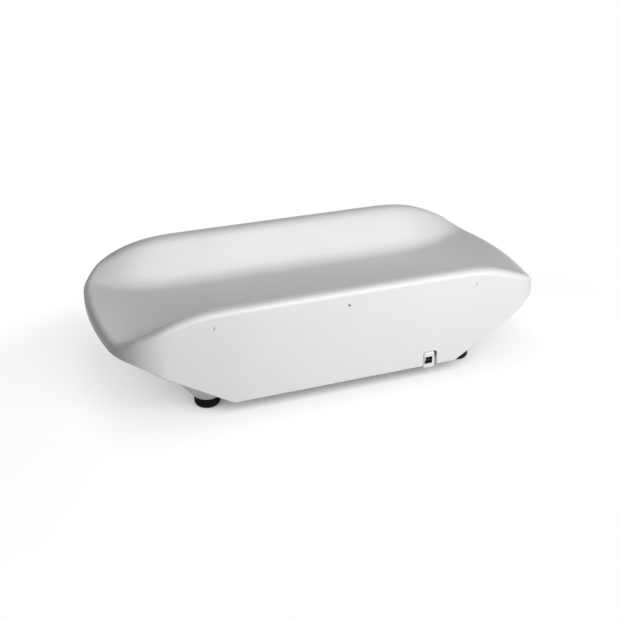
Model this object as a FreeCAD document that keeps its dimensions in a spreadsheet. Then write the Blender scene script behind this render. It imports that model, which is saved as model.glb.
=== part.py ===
import FreeCAD, Part
import math
import os
import Sketcher
from FreeCAD import Placement, Rotation, Vector

# Digital baby weighing scale, in millimetres.
# A one-piece cradle tray floats on a load cell over a base that stands on four rubber feet.
# +X runs along the cradle, -Y is the front with the console, +Y the rear with the power socket,
# +Z is up, and the origin lies on the ground under the middle of the scale.

SIZES = [
    # the cradle tray
    ("tray_length", 600, "overall length of the cradle tray"),
    ("tray_depth", 284, "depth of the tray at its lower edge"),
    ("tray_low_z", 17, "height of the lower edge above the ground"),
    ("tray_wall", 3, "thickness of the moulded tray"),
    ("tray_draft", 1.5, "draft angle of the side walls in degrees"),
    ("end_bulge", 18.5, "how far the middle of each end stands out from its corners"),
    ("plan_corner", 64, "radius of the corners seen from above"),
    ("ridge_z", 142.5, "height of the long side ridges"),
    ("end_z", 108.5, "height of the rim at the two ends"),
    ("floor_z", 82, "height of the lying surface at mid length"),
    ("rim_radius", 8, "outer rounding of the rim"),
    ("flat_half", 153.5, "half length of the level lower edge"),
    ("end_slope", 0.594, "rise per length of the slanted underside"),
    ("tip_low_z", 89, "height of the underside at the end tips"),
    ("mid_half", 110, "half length of the stretch with a constant cross-section"),
    ("fall_length", 178, "length over which the side ridges fall towards each end"),
    ("fall_rest", 6, "distance from the tips where the side ridges have met the end rim"),
    ("fall_power", 1.8, "how gently the side ridges start to fall"),
    ("floor_power", 3, "how late the lying surface climbs to the end rims"),
    ("nose", 46, "length of the closed nose at each end"),
    ("core_corner", 34, "corner radius of the hollow inside the tray"),
    ("crest_y", 126, "distance of the ridge line from the middle plane"),
    ("rib_thickness", 2, "thickness of a rib under the tray"),
    ("rib_gap", 10, "gap between the platform frame and the ribs"),
    ("rib_y", 40, "distance of the long ribs from the middle plane"),
    ("rib_pitch", 85, "distance between the cross ribs"),
    ("tray_screw_reach", 10, "length of a tray screw above the platform frame"),
    # fixings on the rear wall of the tray
    ("rod_spacing", 355, "distance between the two measuring-rod threads"),
    ("rod_z", 123, "height of the measuring-rod threads"),
    ("rod_thread", 4.2, "bore of a measuring-rod thread"),
    ("insert_diameter", 7, "outer diameter of a threaded insert"),
    ("insert_length", 10, "length of a threaded insert"),
    ("insert_boss", 13, "diameter of the boss round an insert"),
    ("centre_hole", 3.5, "diameter of the middle hole of the rear wall"),
    # the base
    ("base_gap", 4, "gap between the tray wall and the base"),
    ("base_low_z", 15.5, "height of the base underside"),
    ("base_wall", 2.5, "thickness of the moulded base"),
    ("base_lip", 9, "height of the base wall over its underside"),
    ("base_corner", 40, "corner radius of the base seen from above"),
    ("foot_out", 24, "distance of the feet beyond the level stretch of the base"),
    ("foot_inset", 34, "distance of the feet from the long sides of the base"),
    ("foot_diameter", 33, "diameter of a rubber foot"),
    ("foot_height", 13, "height of the rubber foot below its pod"),
    ("foot_flat", 11, "radius of the flat that meets the ground"),
    ("pod_flare", 0.8, "growth of the pod radius per height"),
    ("foot_bulge", 1.5, "how far the underside of a foot bulges"),
    ("foot_stem", 9, "diameter of the stem of a foot"),
    ("foot_stem_length", 7, "length of the stem of a foot"),
    ("pod_rim", 3.5, "how far a pod stands out round its foot"),
    ("pod_height", 34, "height of a pod above its foot"),
    # the load cell and what it carries
    ("cell_length", 130, "length of the load cell"),
    ("cell_width", 30, "width of the load cell"),
    ("cell_height", 22, "height of the load cell"),
    ("cell_web", 2.5, "thickness of the thin webs over the twin relief holes"),
    ("cell_relief", 13, "distance of a relief hole from the middle of the cell"),
    ("plinth_height", 3, "height of the raised seat of the load cell"),
    ("spacer_length", 32, "length of the plates between cell and frames"),
    ("spacer_height", 5, "thickness of the plates between cell and frames"),
    ("frame_thickness", 3, "thickness of the platform frame"),
    ("frame_arm_x", 165, "distance of the cross arms from mid length"),
    ("frame_arm_y", 70, "distance of the tray screws from the middle plane"),
    ("frame_width", 44, "width of the frame's spine"),
    ("arm_width", 26, "width of a cross arm"),
    ("stop_gap", 0.9, "play above an overload stop"),
    ("tray_boss", 12, "diameter of a screw boss under the tray"),
    ("cell_bolt", 5, "diameter of a load cell bolt"),
    ("frame_relief_x", 100, "place of the relief holes in the frame's spine"),
    ("frame_flange", 6, "depth of the frame's folded edges"),
    ("stop_y", 45, "distance of the overload stops from the middle plane"),
    ("stop_post", 10, "diameter of a post under an overload stop"),
    ("stop_head", 3, "height of the head of an overload stop"),
    ("stop_reach", 12, "depth of an overload stop in its post"),
    # the console
    ("console_width", 172, "width of the console"),
    ("console_top_z", 76, "height of the console's upper edge"),
    ("console_foot_set", 2.5, "how far the face's lower edge lies behind the tray's edge"),
    ("console_head_set", 10.5, "how far the face's upper edge lies behind the tray's edge"),
    ("console_back_set", 36, "how far the console reaches in from the tray's edge"),
    ("console_wall", 2.5, "thickness of the console housing"),
    ("console_gap", 2, "gap between the console and the tray"),
    ("window_width", 90, "width of the display window"),
    ("window_height", 25, "height of the display window"),
    ("window_low", 28, "height of the window over the lower edge of the face"),
    ("key_width", 25, "width of a button"),
    ("key_height", 11, "height of a button"),
    ("key_pitch", 36, "distance between buttons"),
    ("key_low", 15, "height of the button row over the lower edge of the face"),
    ("key_rise", 1.2, "how far a button stands out of the face"),
    ("key_travel", 1, "travel of a button"),
    ("key_gap", 0.35, "gap round a button"),
    ("key_corner", 3, "corner radius of a button"),
    ("key_flange", 1.2, "thickness and reach of a button's flange"),
    ("key_stem", 4, "diameter of a button's stem"),
    ("switch_width", 6, "width of a push switch"),
    ("switch_depth", 3.2, "height of a push switch over the board"),
    ("lens_lap", 2, "how far the lens laps over the window's edge"),
    ("lens_thickness", 1.1, "thickness of the window lens"),
    ("panel_thickness", 2.8, "thickness of the display panel"),
    ("console_edge", 1.5, "rounding of the console's outer edges"),
    ("console_boss", 12, "height of a screw boss in the console"),
    ("console_screw_x", 78, "distance of the console screws from mid length"),
    ("console_screw_head", 1.4, "depth of the sink for a console screw"),
    ("board_depth", 12, "distance of the main board behind the face"),
    ("board_thickness", 1.6, "thickness of a circuit board"),
    # the power socket
    ("socket_x", -114, "place of the socket along the rear wall"),
    ("socket_width", 11.2, "width of the socket body"),
    ("socket_height", 9.8, "height of the socket body"),
    ("socket_length", 15, "depth of the socket body"),
    ("socket_rim", 1.1, "wall of the white block beside the socket"),
    ("block_low_z", 14, "height of the lower edge of the white block"),
    ("block_top_z", 33.5, "height of the upper edge of the white block"),
    ("notch_x", -116.4, "middle of the cut-out in the tray over the socket"),
    ("notch_width", 19.5, "width of that cut-out"),
    ("notch_top_z", 36.5, "upper edge of the cut-out"),
    ("block_set", 0.5, "how far the white block lies inside the tray's lower edge"),
    ("socket_set", 0.4, "how far the socket lies behind the face of its block"),
    ("socket_depth", 9, "depth of the mouth of the socket"),
    ("pin_set", 1.7, "distance of the contact blade from the side of the mouth"),
    ("pin_width", 1.2, "width of the contact blade"),
    # the battery bay
    ("cell_aa_diameter", 14.2, "diameter of a battery"),
    ("cell_aa_length", 50, "length of a battery"),
    ("bay_gap", 0.6, "play between batteries and bay"),
    ("cover_thickness", 2, "thickness of the battery cover"),
    ("bay_spring", 8, "space for a contact spring"),
    ("battery_button", 1.2, "height of the raised contact of a battery"),
    ("contact_thickness", 0.5, "thickness of a battery contact"),
    ("rail_width", 5, "width of the rails beside the cover"),
    ("tongue", 2, "reach of the grooves beside the cover"),
    # small hardware
    ("screw_hole", 3.2, "diameter of a screw hole"),
    ("screw_shank", 3, "diameter of a screw shank"),
    ("screw_head", 6, "diameter of a screw head"),
    ("fit_gap", 0.1, "play between parts that are fitted together"),
]

doc = FreeCAD.newDocument("baby_scale")
NODES = {}


class Size:
    """A length in mm together with the spreadsheet expression that gives it."""

    def __init__(self, value, text):
        self.value = float(value)
        self.text = text

    def combine(self, other, sign, value):
        return Size(value, f"({self.text} {sign} {as_size(other).text})")

    def __add__(self, other):
        return self.combine(other, "+", self.value + as_size(other).value)

    def __sub__(self, other):
        return self.combine(other, "-", self.value - as_size(other).value)

    def __mul__(self, other):
        return self.combine(other, "*", self.value * as_size(other).value)

    def __truediv__(self, other):
        return self.combine(other, "/", self.value / as_size(other).value)

    def __radd__(self, other):
        return as_size(other) + self

    def __rsub__(self, other):
        return as_size(other) - self

    def __rmul__(self, other):
        return as_size(other) * self

    def __neg__(self):
        return Size(-self.value, f"(0 - {self.text})")

    def root(self):
        return Size(math.sqrt(self.value), f"sqrt({self.text})")

    def tangent(self):
        """The tangent of an angle in degrees."""
        return Size(math.tan(math.radians(self.value)), f"tan({self.text})")


def as_size(number):
    """A plain number as a Size."""
    if isinstance(number, Size):
        return number
    return Size(number, f"({float(number):.6f})")


def make_sheet():
    """Write the driving dimensions into the spreadsheet, one row each."""
    sheet = doc.addObject("Spreadsheet::Sheet", "sizes")
    for row, (name, value, meaning) in enumerate(SIZES, 1):
        sheet.set(f"A{row}", name)
        sheet.set(f"B{row}", str(value))
        sheet.set(f"C{row}", meaning)
        sheet.setAlias(f"B{row}", name)
    doc.recompute()
    return sheet


SHEET = make_sheet()


def size(name):
    """A driving dimension of the spreadsheet."""
    return Size(float(SHEET.get(name)), f"sizes.{name}")


def bind(thing, prop, length):
    """Tie one property of a document object to the spreadsheet."""
    thing.setExpression(prop, as_size(length).text)


# ---- sketches and PartDesign features ----


def new_body(name):
    body = doc.addObject("PartDesign::Body", name)
    body.Label = name
    return body


def new_sketch(body, role, offset=None):
    """A sketch on one of the body's own origin planes."""
    sketch = body.newObject("Sketcher::SketchObject", body.Name + "_sketch")
    plane = next(item for item in body.Origin.OriginFeatures if item.Role == role)
    sketch.AttachmentSupport = (plane, [""])
    sketch.MapMode = "FlatFace"
    if offset is not None:
        bind(sketch, "AttachmentOffset.Base.z", offset)
    return sketch


def pin_point(sketch, item, end, x, y):
    """Fix one end of a sketch line or the centre of a circle at bound coordinates."""
    for kind, axis, value in (("DistanceX", -2, x), ("DistanceY", -1, y)):
        value = as_size(value)
        if abs(value.value) < 1e-9:
            sketch.addConstraint(Sketcher.Constraint("PointOnObject", item, end, axis))
            continue
        number = sketch.addConstraint(
            Sketcher.Constraint(kind, -1, 1, item, end, value.value))
        bind(sketch, f"Constraints[{number}]", value)


def draw_circle(sketch, x, y, radius):
    x, y, radius = as_size(x), as_size(y), as_size(radius)
    centre = Vector(x.value, y.value, 0)
    item = sketch.addGeometry(Part.Circle(centre, Vector(0, 0, 1), radius.value))
    pin_point(sketch, item, 3, x, y)
    number = sketch.addConstraint(Sketcher.Constraint("Radius", item, radius.value))
    bind(sketch, f"Constraints[{number}]", radius)


def arc_through(start, finish, sagitta):
    """The arc between two points whose middle stands off the chord to the left."""
    chord = finish - start
    left = Vector(-chord.y, chord.x, 0).normalize()
    middle = (start + finish) * 0.5 + left * sagitta
    return Part.Arc(start, middle, finish)


def draw_outline(sketch, points, arcs=None):
    """A closed outline; arcs gives the sagitta of the sides that are bent."""
    arcs = arcs or {}
    points = [(as_size(x), as_size(y)) for x, y in points]
    ends = []
    for side, (start, finish) in enumerate(zip(points, points[1:] + points[:1])):
        first = Vector(start[0].value, start[1].value, 0)
        last = Vector(finish[0].value, finish[1].value, 0)
        if side not in arcs:
            ends.append((sketch.addGeometry(Part.LineSegment(first, last)), 1, 2))
            continue
        sagitta = as_size(arcs[side])
        item = sketch.addGeometry(arc_through(first, last, sagitta.value))
        forward = (sketch.Geometry[item].StartPoint - first).Length < 1e-6
        ends.append((item, 1, 2) if forward else (item, 2, 1))
        dx, dy = finish[0] - start[0], finish[1] - start[1]
        radius = ((dx * dx + dy * dy) / 4 + sagitta * sagitta) / (2 * sagitta)
        if sagitta.value < 0:
            radius = -radius
        number = sketch.addConstraint(Sketcher.Constraint("Radius", item, radius.value))
        bind(sketch, f"Constraints[{number}]", radius)
    for (item, _, last), (after, first, _) in zip(ends, ends[1:] + ends[:1]):
        sketch.addConstraint(Sketcher.Constraint("Coincident", item, last, after, first))
    for (item, first, _), (x, y) in zip(ends, points):
        pin_point(sketch, item, first, x, y)


def draw_rectangle(sketch, x, y):
    """A rectangle from the ranges (low, high) along both sketch axes."""
    draw_outline(sketch, [(x[0], y[0]), (x[1], y[0]), (x[1], y[1]), (x[0], y[1])])


def add_pad(body, sketch, length, symmetric=False, draft=None):
    pad = body.newObject("PartDesign::Pad", body.Name + "_pad")
    pad.Profile = sketch
    bind(pad, "Length", length)
    if symmetric:
        pad.SideType = "Symmetric"
    if draft is not None:
        bind(pad, "TaperAngle", draft)
    doc.recompute()
    return pad


def add_pocket(body, sketch, symmetric=True):
    """Cut the sketch right through the body, and make sure that it removed something."""
    before = body.Shape.Volume
    pocket = body.newObject("PartDesign::Pocket", body.Name + "_pocket")
    pocket.Profile = sketch
    pocket.Type = "ThroughAll"
    if symmetric:
        pocket.SideType = "Symmetric"
    doc.recompute()
    if not body.Shape.Volume < before:
        raise RuntimeError(f"{body.Name}: a pocket removed nothing")
    return pocket


def round_edges(body, base, radius, wanted):
    """A fillet on the edges that the test accepts."""
    names = [f"Edge{n}" for n, edge in enumerate(base.Shape.Edges, 1) if wanted(edge)]
    fillet = body.newObject("PartDesign::Fillet", body.Name + "_fillet")
    fillet.Base = (base, names)
    bind(fillet, "Radius", radius)
    doc.recompute()
    return fillet


def runs_along(axis, least=0.5):
    """An edge test: straight, or nearly, along one axis and longer than the least length."""
    def test(edge):
        box = edge.BoundBox
        spans = {"x": box.XLength, "y": box.YLength, "z": box.ZLength}
        others = max(span for name, span in spans.items() if name != axis)
        return spans[axis] > least and spans[axis] > 4 * others
    return test


# ---- primitives and booleans ----


def place(thing, x, y, z):
    bind(thing, "Placement.Base.x", x)
    bind(thing, "Placement.Base.y", y)
    bind(thing, "Placement.Base.z", z)


def box(name, x, y, z):
    """A box from its ranges (low, high) along the three axes."""
    solid = doc.addObject("Part::Box", name)
    bind(solid, "Length", x[1] - x[0])
    bind(solid, "Width", y[1] - y[0])
    bind(solid, "Height", z[1] - z[0])
    place(solid, x[0], y[0], z[0])
    return solid


AXIS_TURNS = {
    "x": Rotation(Vector(0, 1, 0), 90),
    "y": Rotation(Vector(1, 0, 0), -90),
    "z": Rotation(),
}


def cylinder(name, diameter, axis, start, length):
    """A cylinder from its start point along +X, +Y or +Z."""
    solid = doc.addObject("Part::Cylinder", name)
    solid.Placement = Placement(Vector(), AXIS_TURNS[axis])
    bind(solid, "Radius", diameter / 2)
    bind(solid, "Height", length)
    place(solid, *start)
    return solid


def cone(name, low_diameter, high_diameter, start, length):
    solid = doc.addObject("Part::Cone", name)
    bind(solid, "Radius1", low_diameter / 2)
    bind(solid, "Radius2", high_diameter / 2)
    bind(solid, "Height", length)
    place(solid, *start)
    return solid


def fuse(name, things):
    whole = doc.addObject("Part::MultiFuse", name)
    whole.Shapes = list(things)
    return whole


def group(name, things):
    """Separate solids kept together in one node."""
    whole = doc.addObject("Part::Compound", name)
    whole.Links = list(things)
    return whole


def cut(name, base, tool):
    result = doc.addObject("Part::Cut", name)
    result.Base = base
    result.Tool = tool
    return result


def node(label, thing, placement=None):
    """Name a finished sub-part; its label is also the name of its file."""
    thing.Label = label
    if placement is not None:
        thing.Placement = placement
    NODES[label] = thing
    return thing


def both(value):
    """A range that is symmetric about zero."""
    return (-value, value)


def around(middle, width):
    """A range of the given width about its middle."""
    return (middle - width / 2, middle + width / 2)


# ---- places that several pieces share ----

half_x = size("tray_length") / 2
half_y = size("tray_depth") / 2
tray_low = size("tray_low_z")
ceiling = size("ridge_z") + size("tray_wall") * 5
far = size("tray_length")
base_top = size("base_low_z") + size("base_wall")
base_half_y = half_y - size("tray_wall") - size("base_gap")
base_half_x = half_x - size("nose") - size("base_gap")
cell_low = base_top + size("plinth_height") + size("spacer_height")
cell_top = cell_low + size("cell_height")
frame_low = cell_top + size("spacer_height")
frame_top = frame_low + size("frame_thickness")
rod_x = size("rod_spacing") / 2
foot_x = size("flat_half") + size("foot_out")
foot_y = base_half_y - size("foot_inset")
console_foot_y = half_y - size("console_foot_set")
console_head_y = half_y - size("console_head_set")
console_back_y = half_y - size("console_back_set")


def corners(x, y):
    """The four points (+-x, +-y)."""
    return [(sx * x, sy * y) for sx in (-1, 1) for sy in (-1, 1)]


# ---- the cradle tray ----


def plan_block(name, block_x, block_y, corner, low, high, draft=None):
    """A block with the outline seen from above: straight sides, bowed ends, round corners."""
    body = new_body(name)
    sketch = new_sketch(body, "XY_Plane", low)
    bulge = size("end_bulge")
    end_x = block_x - bulge
    outline = [(-end_x, -block_y), (end_x, -block_y), (end_x, block_y), (-end_x, block_y)]
    draw_outline(sketch, outline, {1: -bulge, 3: -bulge})
    pad = add_pad(body, sketch, high - low, draft=draft)
    round_edges(body, pad, corner, runs_along("z"))
    return body


def cut_tray_underside(body):
    """Cut the block to the tray's lower edge: level, slanted, then easing out to the tips."""
    slope = size("end_slope")
    tip = size("tip_low_z")
    steep = (slope * slope + 1).root()
    half_turn = (steep - 1) / slope
    rise = tip - tray_low + slope * size("flat_half") - half_turn * half_x
    bend_x = rise / (slope - half_turn)
    bend_z = tray_low + slope * (bend_x - size("flat_half"))
    chord = ((half_x - bend_x) * (half_x - bend_x) + (tip - bend_z) * (tip - bend_z)).root()
    quarter_turn = ((half_turn * half_turn + 1).root() - 1) / half_turn
    sagitta = chord * quarter_turn / 2
    right = [(far, tip), (half_x, tip), (bend_x, bend_z), (size("flat_half"), tray_low)]
    left = [(-x, z) for x, z in reversed(right)]
    outline = [(-far, -tray_low), (far, -tray_low)] + right + left
    sketch = new_sketch(body, "XZ_Plane")
    draw_outline(sketch, outline, {3: -sagitta, 7: -sagitta})
    add_pocket(body, sketch)


# How the cross-section climbs from the middle (0, 0) to the ridge (1, 1).
HALF_SECTION = [(0, 0), (0.30, 0), (0.46, 0), (0.55, 0), (0.63, 0), (0.697, 0.04), (0.757, 0.195),
                (0.815, 0.43), (0.868, 0.65), (0.915, 0.85), (0.953, 0.975), (1.0, 1)]
END_ROWS = 11


def section_poles(floor, ridge, depth):
    """Control points (y, z) of one cross-section, pushed into the tray by a depth."""
    crest = size("crest_y").value
    outer = half_y.value + size("rim_radius").value * 2
    half = [(y * crest, floor + (ridge - floor) * climb) for y, climb in HALF_SECTION]
    half += [((crest + outer) / 2, ridge), (outer, ridge)]
    points = [(-y, z) for y, z in reversed(half[1:])] + half
    before = points[:1] + points[:-1]
    after = points[1:] + points[-1:]
    poles = []
    for (y, z), (y0, z0), (y1, z1) in zip(points, before, after):
        reach = math.hypot(y1 - y0, z1 - z0)
        poles.append((y + depth * (z1 - z0) / reach, z - depth * (y1 - y0) / reach))
    return poles


def cradle_heights(along):
    """Floor and ridge height where along runs from 0 at the constant stretch to 1 at the tip."""
    along = min(max(along, 0), 1)
    floor_z, end_z, ridge_z = (size(name).value for name in ("floor_z", "end_z", "ridge_z"))
    reach = half_x.value - size("mid_half").value
    stop = 1 - size("fall_rest").value / reach
    fall = min(max(1 - (stop - along) * reach / size("fall_length").value, 0), 1)
    floor = floor_z + (end_z - floor_z) * along ** size("floor_power").value
    turn = math.pi * fall ** size("fall_power").value
    ridge = end_z + (ridge_z - end_z) * (1 + math.cos(turn)) / 2
    return floor, max(ridge, floor)


def uniform_knots(poles):
    """Knots and multiplicities of a clamped cubic curve."""
    spans = poles - 3
    return [n / spans for n in range(spans + 1)], [4] + [1] * (spans - 1) + [4]


def cradle_surface(depth):
    """The cradle surface from end to end, moved into the wall by a depth."""
    mid = size("mid_half").value
    step = (half_x.value * 1.1 - mid) / END_ROWS
    rows = []
    for row in range(END_ROWS + 1):
        x = mid + row * step
        floor, ridge = cradle_heights((x - mid - step) / (half_x.value - mid - step))
        rows.append([Vector(x, y, z) for y, z in section_poles(floor, ridge, depth)])
    rows = [[Vector(-pole.x, pole.y, pole.z) for pole in row] for row in reversed(rows)] + rows
    row_knots, row_counts = uniform_knots(len(rows))
    knots, counts = uniform_knots(len(rows[0]))
    surface = Part.BSplineSurface()
    surface.buildFromPolesMultsKnots(
        rows, row_counts, counts, row_knots, knots, False, False, 3, 3)
    return surface.toShape()


def space_above_cradle(name, depth):
    """Everything above the cradle surface, or above that surface moved into the wall."""
    feature = doc.addObject("Part::Feature", name)
    feature.Shape = cradle_surface(depth).extrude(Vector(0, 0, ceiling.value))
    return feature


def even_middle(name, thing):
    """The same solid with its middle stretch drawn out as one constant cross-section."""
    doc.recompute()
    mid = size("mid_half").value
    reach = far.value
    outside = Part.makeBox(reach, 2 * reach, 2 * reach, Vector(mid, -reach, -reach))
    right = thing.Shape.common(outside)
    seam = next(face for face in right.Faces if face.BoundBox.XMax < mid + 1e-6)
    middle = seam.extrude(Vector(-2 * mid, 0, 0))
    left = right.mirror(Vector(), Vector(1, 0, 0))
    feature = doc.addObject("Part::Feature", name)
    feature.Shape = right.fuse([middle, left])
    return feature


def round_rim(name, blank):
    """Roll the outer edge of the tray's upper face over into the walls."""
    doc.recompute()
    radius = size("rim_radius").value
    edges = []
    for number, edge in enumerate(blank.Shape.Edges, 1):
        if edge.BoundBox.ZMin > size("tip_low_z").value + 1 and edge.Length > radius:
            edges.append((number, radius, radius))
    rounded = doc.addObject("Part::Fillet", name)
    rounded.Base = blank
    rounded.Edges = edges
    return rounded


def wall_notch(name, x, z, y, corner):
    """A slot through one wall of the tray, open at the lower edge, with round upper corners."""
    body = new_body(name)
    sketch = new_sketch(body, "XZ_Plane", -y)
    draw_rectangle(sketch, x, z)
    pad = add_pad(body, sketch, size("tray_wall") * 8, symmetric=True)
    top = z[1].value - 0.01
    round_edges(body, pad, corner,
                lambda edge: runs_along("y")(edge) and edge.BoundBox.ZMin > top)
    return body


def tray_ribs():
    """The stiffening ribs and screw bosses under the lying surface."""
    low = frame_top + size("rib_gap")
    rib = size("rib_thickness")
    parts = []
    for number, side in enumerate((-1, 1)):
        line = side * size("rib_y")
        parts.append(box(f"long_rib_{number}", both(size("frame_arm_x") - size("tray_boss")),
                         around(line, rib), (low, ceiling)))
    for number, place_x in enumerate((-1, 0, 1)):
        line = place_x * size("rib_pitch")
        parts.append(box(f"cross_rib_{number}", around(line, rib),
                         both(console_back_y - size("console_gap") * 3), (low, ceiling)))
    for number, (x, y) in enumerate(corners(size("frame_arm_x"), size("frame_arm_y"))):
        parts.append(cylinder(f"tray_boss_{number}", size("tray_boss"), "z",
                              (x, y, frame_top), ceiling - frame_top))
    for number, side in enumerate((-1, 1)):
        depth = size("insert_length") + size("tray_wall") * 2
        parts.append(cylinder(f"insert_boss_{number}", size("insert_boss"), "y",
                              (side * rod_x, insert_face - depth, size("rod_z")), depth))
    return parts


def tray_openings():
    """The holes and cut-outs of the tray."""
    low = tray_low - size("tray_wall")
    gap = size("console_gap")
    parts = [
        wall_notch("socket_notch", around(size("notch_x"), size("notch_width")),
                   (low, size("notch_top_z")), half_y, size("tray_wall")),
        wall_notch("console_notch", both(size("console_width") / 2 + gap),
                   (low, size("console_top_z") + gap), -half_y, size("tray_wall") * 1.5),
        cylinder("centre_hole", size("centre_hole"), "y",
                 (0, half_y - size("tray_wall") * 4, size("rod_z")), size("tray_wall") * 5),
    ]
    for number, side in enumerate((-1, 1)):
        depth = size("insert_length") + size("fit_gap")
        parts.append(cylinder(f"insert_hole_{number}", size("insert_diameter") + size("fit_gap"),
                              "y", (side * rod_x, insert_face - depth, size("rod_z")),
                              depth + size("tray_wall")))
    for number, (x, y) in enumerate(corners(size("frame_arm_x"), size("frame_arm_y"))):
        parts.append(cylinder(f"tray_pilot_{number}", size("screw_shank") + size("fit_gap"),
                              "z", (x, y, frame_top), size("tray_screw_reach") + size("fit_gap")))
    return parts


# Where the drafted rear wall lies at the height of the rod threads.
draft_run = size("tray_draft").tangent()
insert_face = half_y - (size("rod_z") - tray_low) * draft_run


def make_tray():
    """The one-piece tray: outer form, rolled rim, hollow underside, ribs and openings."""
    draft = -size("tray_draft")
    tip_run = (size("tip_low_z") - tray_low) * draft_run
    blank = plan_block("tray_blank", half_x + tip_run, half_y, size("plan_corner"),
                       tray_low, ceiling, draft)
    cut_tray_underside(blank)
    outer = cut("tray_outer", blank, space_above_cradle("lying_space", 0))
    rounded = even_middle("tray_form", round_rim("tray_rounded", outer))
    wall = size("tray_wall")
    hollow = plan_block("tray_hollow", half_x - size("nose"), half_y - wall,
                        size("core_corner"), tray_low, ceiling, draft)
    below = cut("tray_core", hollow, space_above_cradle("wall_space", wall.value))
    under = even_middle("tray_core_form", below)
    core = cut("tray_core_ribbed", under, fuse("tray_ribs", tray_ribs()))
    shell = cut("tray_moulded", rounded, core)
    return node("tray_shell", cut("tray_shell_cut", shell, fuse("tray_cuts", tray_openings())))


def make_inserts():
    """Threaded metal inserts for a measuring rod."""
    parts = []
    for number, side in enumerate((-1, 1)):
        start = (side * rod_x, insert_face - size("insert_length"), size("rod_z"))
        sleeve = cylinder(f"insert_{number}", size("insert_diameter"), "y",
                          start, size("insert_length"))
        bore = cylinder(f"insert_bore_{number}", size("rod_thread"), "y",
                        start, size("insert_length"))
        parts.append(cut(f"insert_sleeve_{number}", sleeve, bore))
    return node("rod_inserts", group("rod_insert_group", parts))


# ---- the load cell and the platform frame ----


def make_load_cell():
    """A bending beam: two relief holes joined by a slot leave four thin webs."""
    body = new_body("load_cell_body")
    reach = size("cell_length") / 2
    sketch = new_sketch(body, "XZ_Plane")
    draw_rectangle(sketch, both(reach), (cell_low, cell_top))
    add_pad(body, sketch, size("cell_width"), symmetric=True)
    middle = cell_low + size("cell_height") / 2
    relief = size("cell_height") / 2 - size("cell_web")
    holes = new_sketch(body, "XZ_Plane")
    draw_circle(holes, -size("cell_relief"), middle, relief)
    draw_circle(holes, size("cell_relief"), middle, relief)
    add_pocket(body, holes)
    slot = new_sketch(body, "XZ_Plane")
    draw_rectangle(slot, both(size("cell_relief")), around(middle, relief * 0.6))
    add_pocket(body, slot)
    threads = new_sketch(body, "XY_Plane")
    for x in cell_bolt_places(-1) + cell_bolt_places(1):
        draw_circle(threads, x, 0, size("cell_bolt") / 2 + size("fit_gap"))
    add_pocket(body, threads)
    return node("load_cell", body)


def cell_bolt_places(side):
    """The two bolt places at one end of the load cell."""
    reach = size("cell_length") / 2
    return [side * (reach - size("cell_bolt") * 1.8),
            side * (reach - size("spacer_length") + size("cell_bolt") * 1.4)]


def spacer_range(side):
    """The stretch of the load cell that rests on a spacer."""
    reach = size("cell_length") / 2
    inner = reach - size("spacer_length")
    return (inner, reach) if side > 0 else (-reach, -inner)


def make_spacer(label, side, low):
    """A plate between the load cell and the part that it carries or stands on."""
    body = new_body(label + "_body")
    sketch = new_sketch(body, "XY_Plane", low)
    draw_rectangle(sketch, spacer_range(side), both(size("cell_width") / 2))
    add_pad(body, sketch, size("spacer_height"))
    holes = new_sketch(body, "XY_Plane", low)
    for x in cell_bolt_places(side):
        draw_circle(holes, x, 0, size("cell_bolt") / 2 + size("fit_gap"))
    add_pocket(body, holes)
    return node(label, body)


def bolt(name, x, y, head_low, shank, up):
    """A bolt with a round head; the shank runs up or down from the head."""
    head_height = size("cell_bolt") * 0.6
    head = cylinder(name + "_head", size("cell_bolt") * 1.7, "z", (x, y, head_low), head_height)
    start = head_low + head_height if up else head_low - shank
    stem = cylinder(name + "_stem", size("cell_bolt"), "z", (x, y, start), shank)
    return fuse(name, [head, stem])


def make_cell_bolts():
    depth = size("spacer_height") + size("cell_height") * 0.6
    upper = [bolt(f"cell_bolt_top_{n}", x, 0, frame_top, depth + size("frame_thickness"), False)
             for n, x in enumerate(cell_bolt_places(1))]
    head_low = size("base_low_z") + size("fit_gap")
    reach = cell_low - head_low - size("cell_bolt") * 0.6 + size("cell_height") * 0.6
    lower = [bolt(f"cell_bolt_low_{n}", x, 0, head_low, reach, True)
             for n, x in enumerate(cell_bolt_places(-1))]
    node("frame_bolts", group("frame_bolt_group", upper))
    node("base_bolts", group("base_bolt_group", lower))


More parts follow.
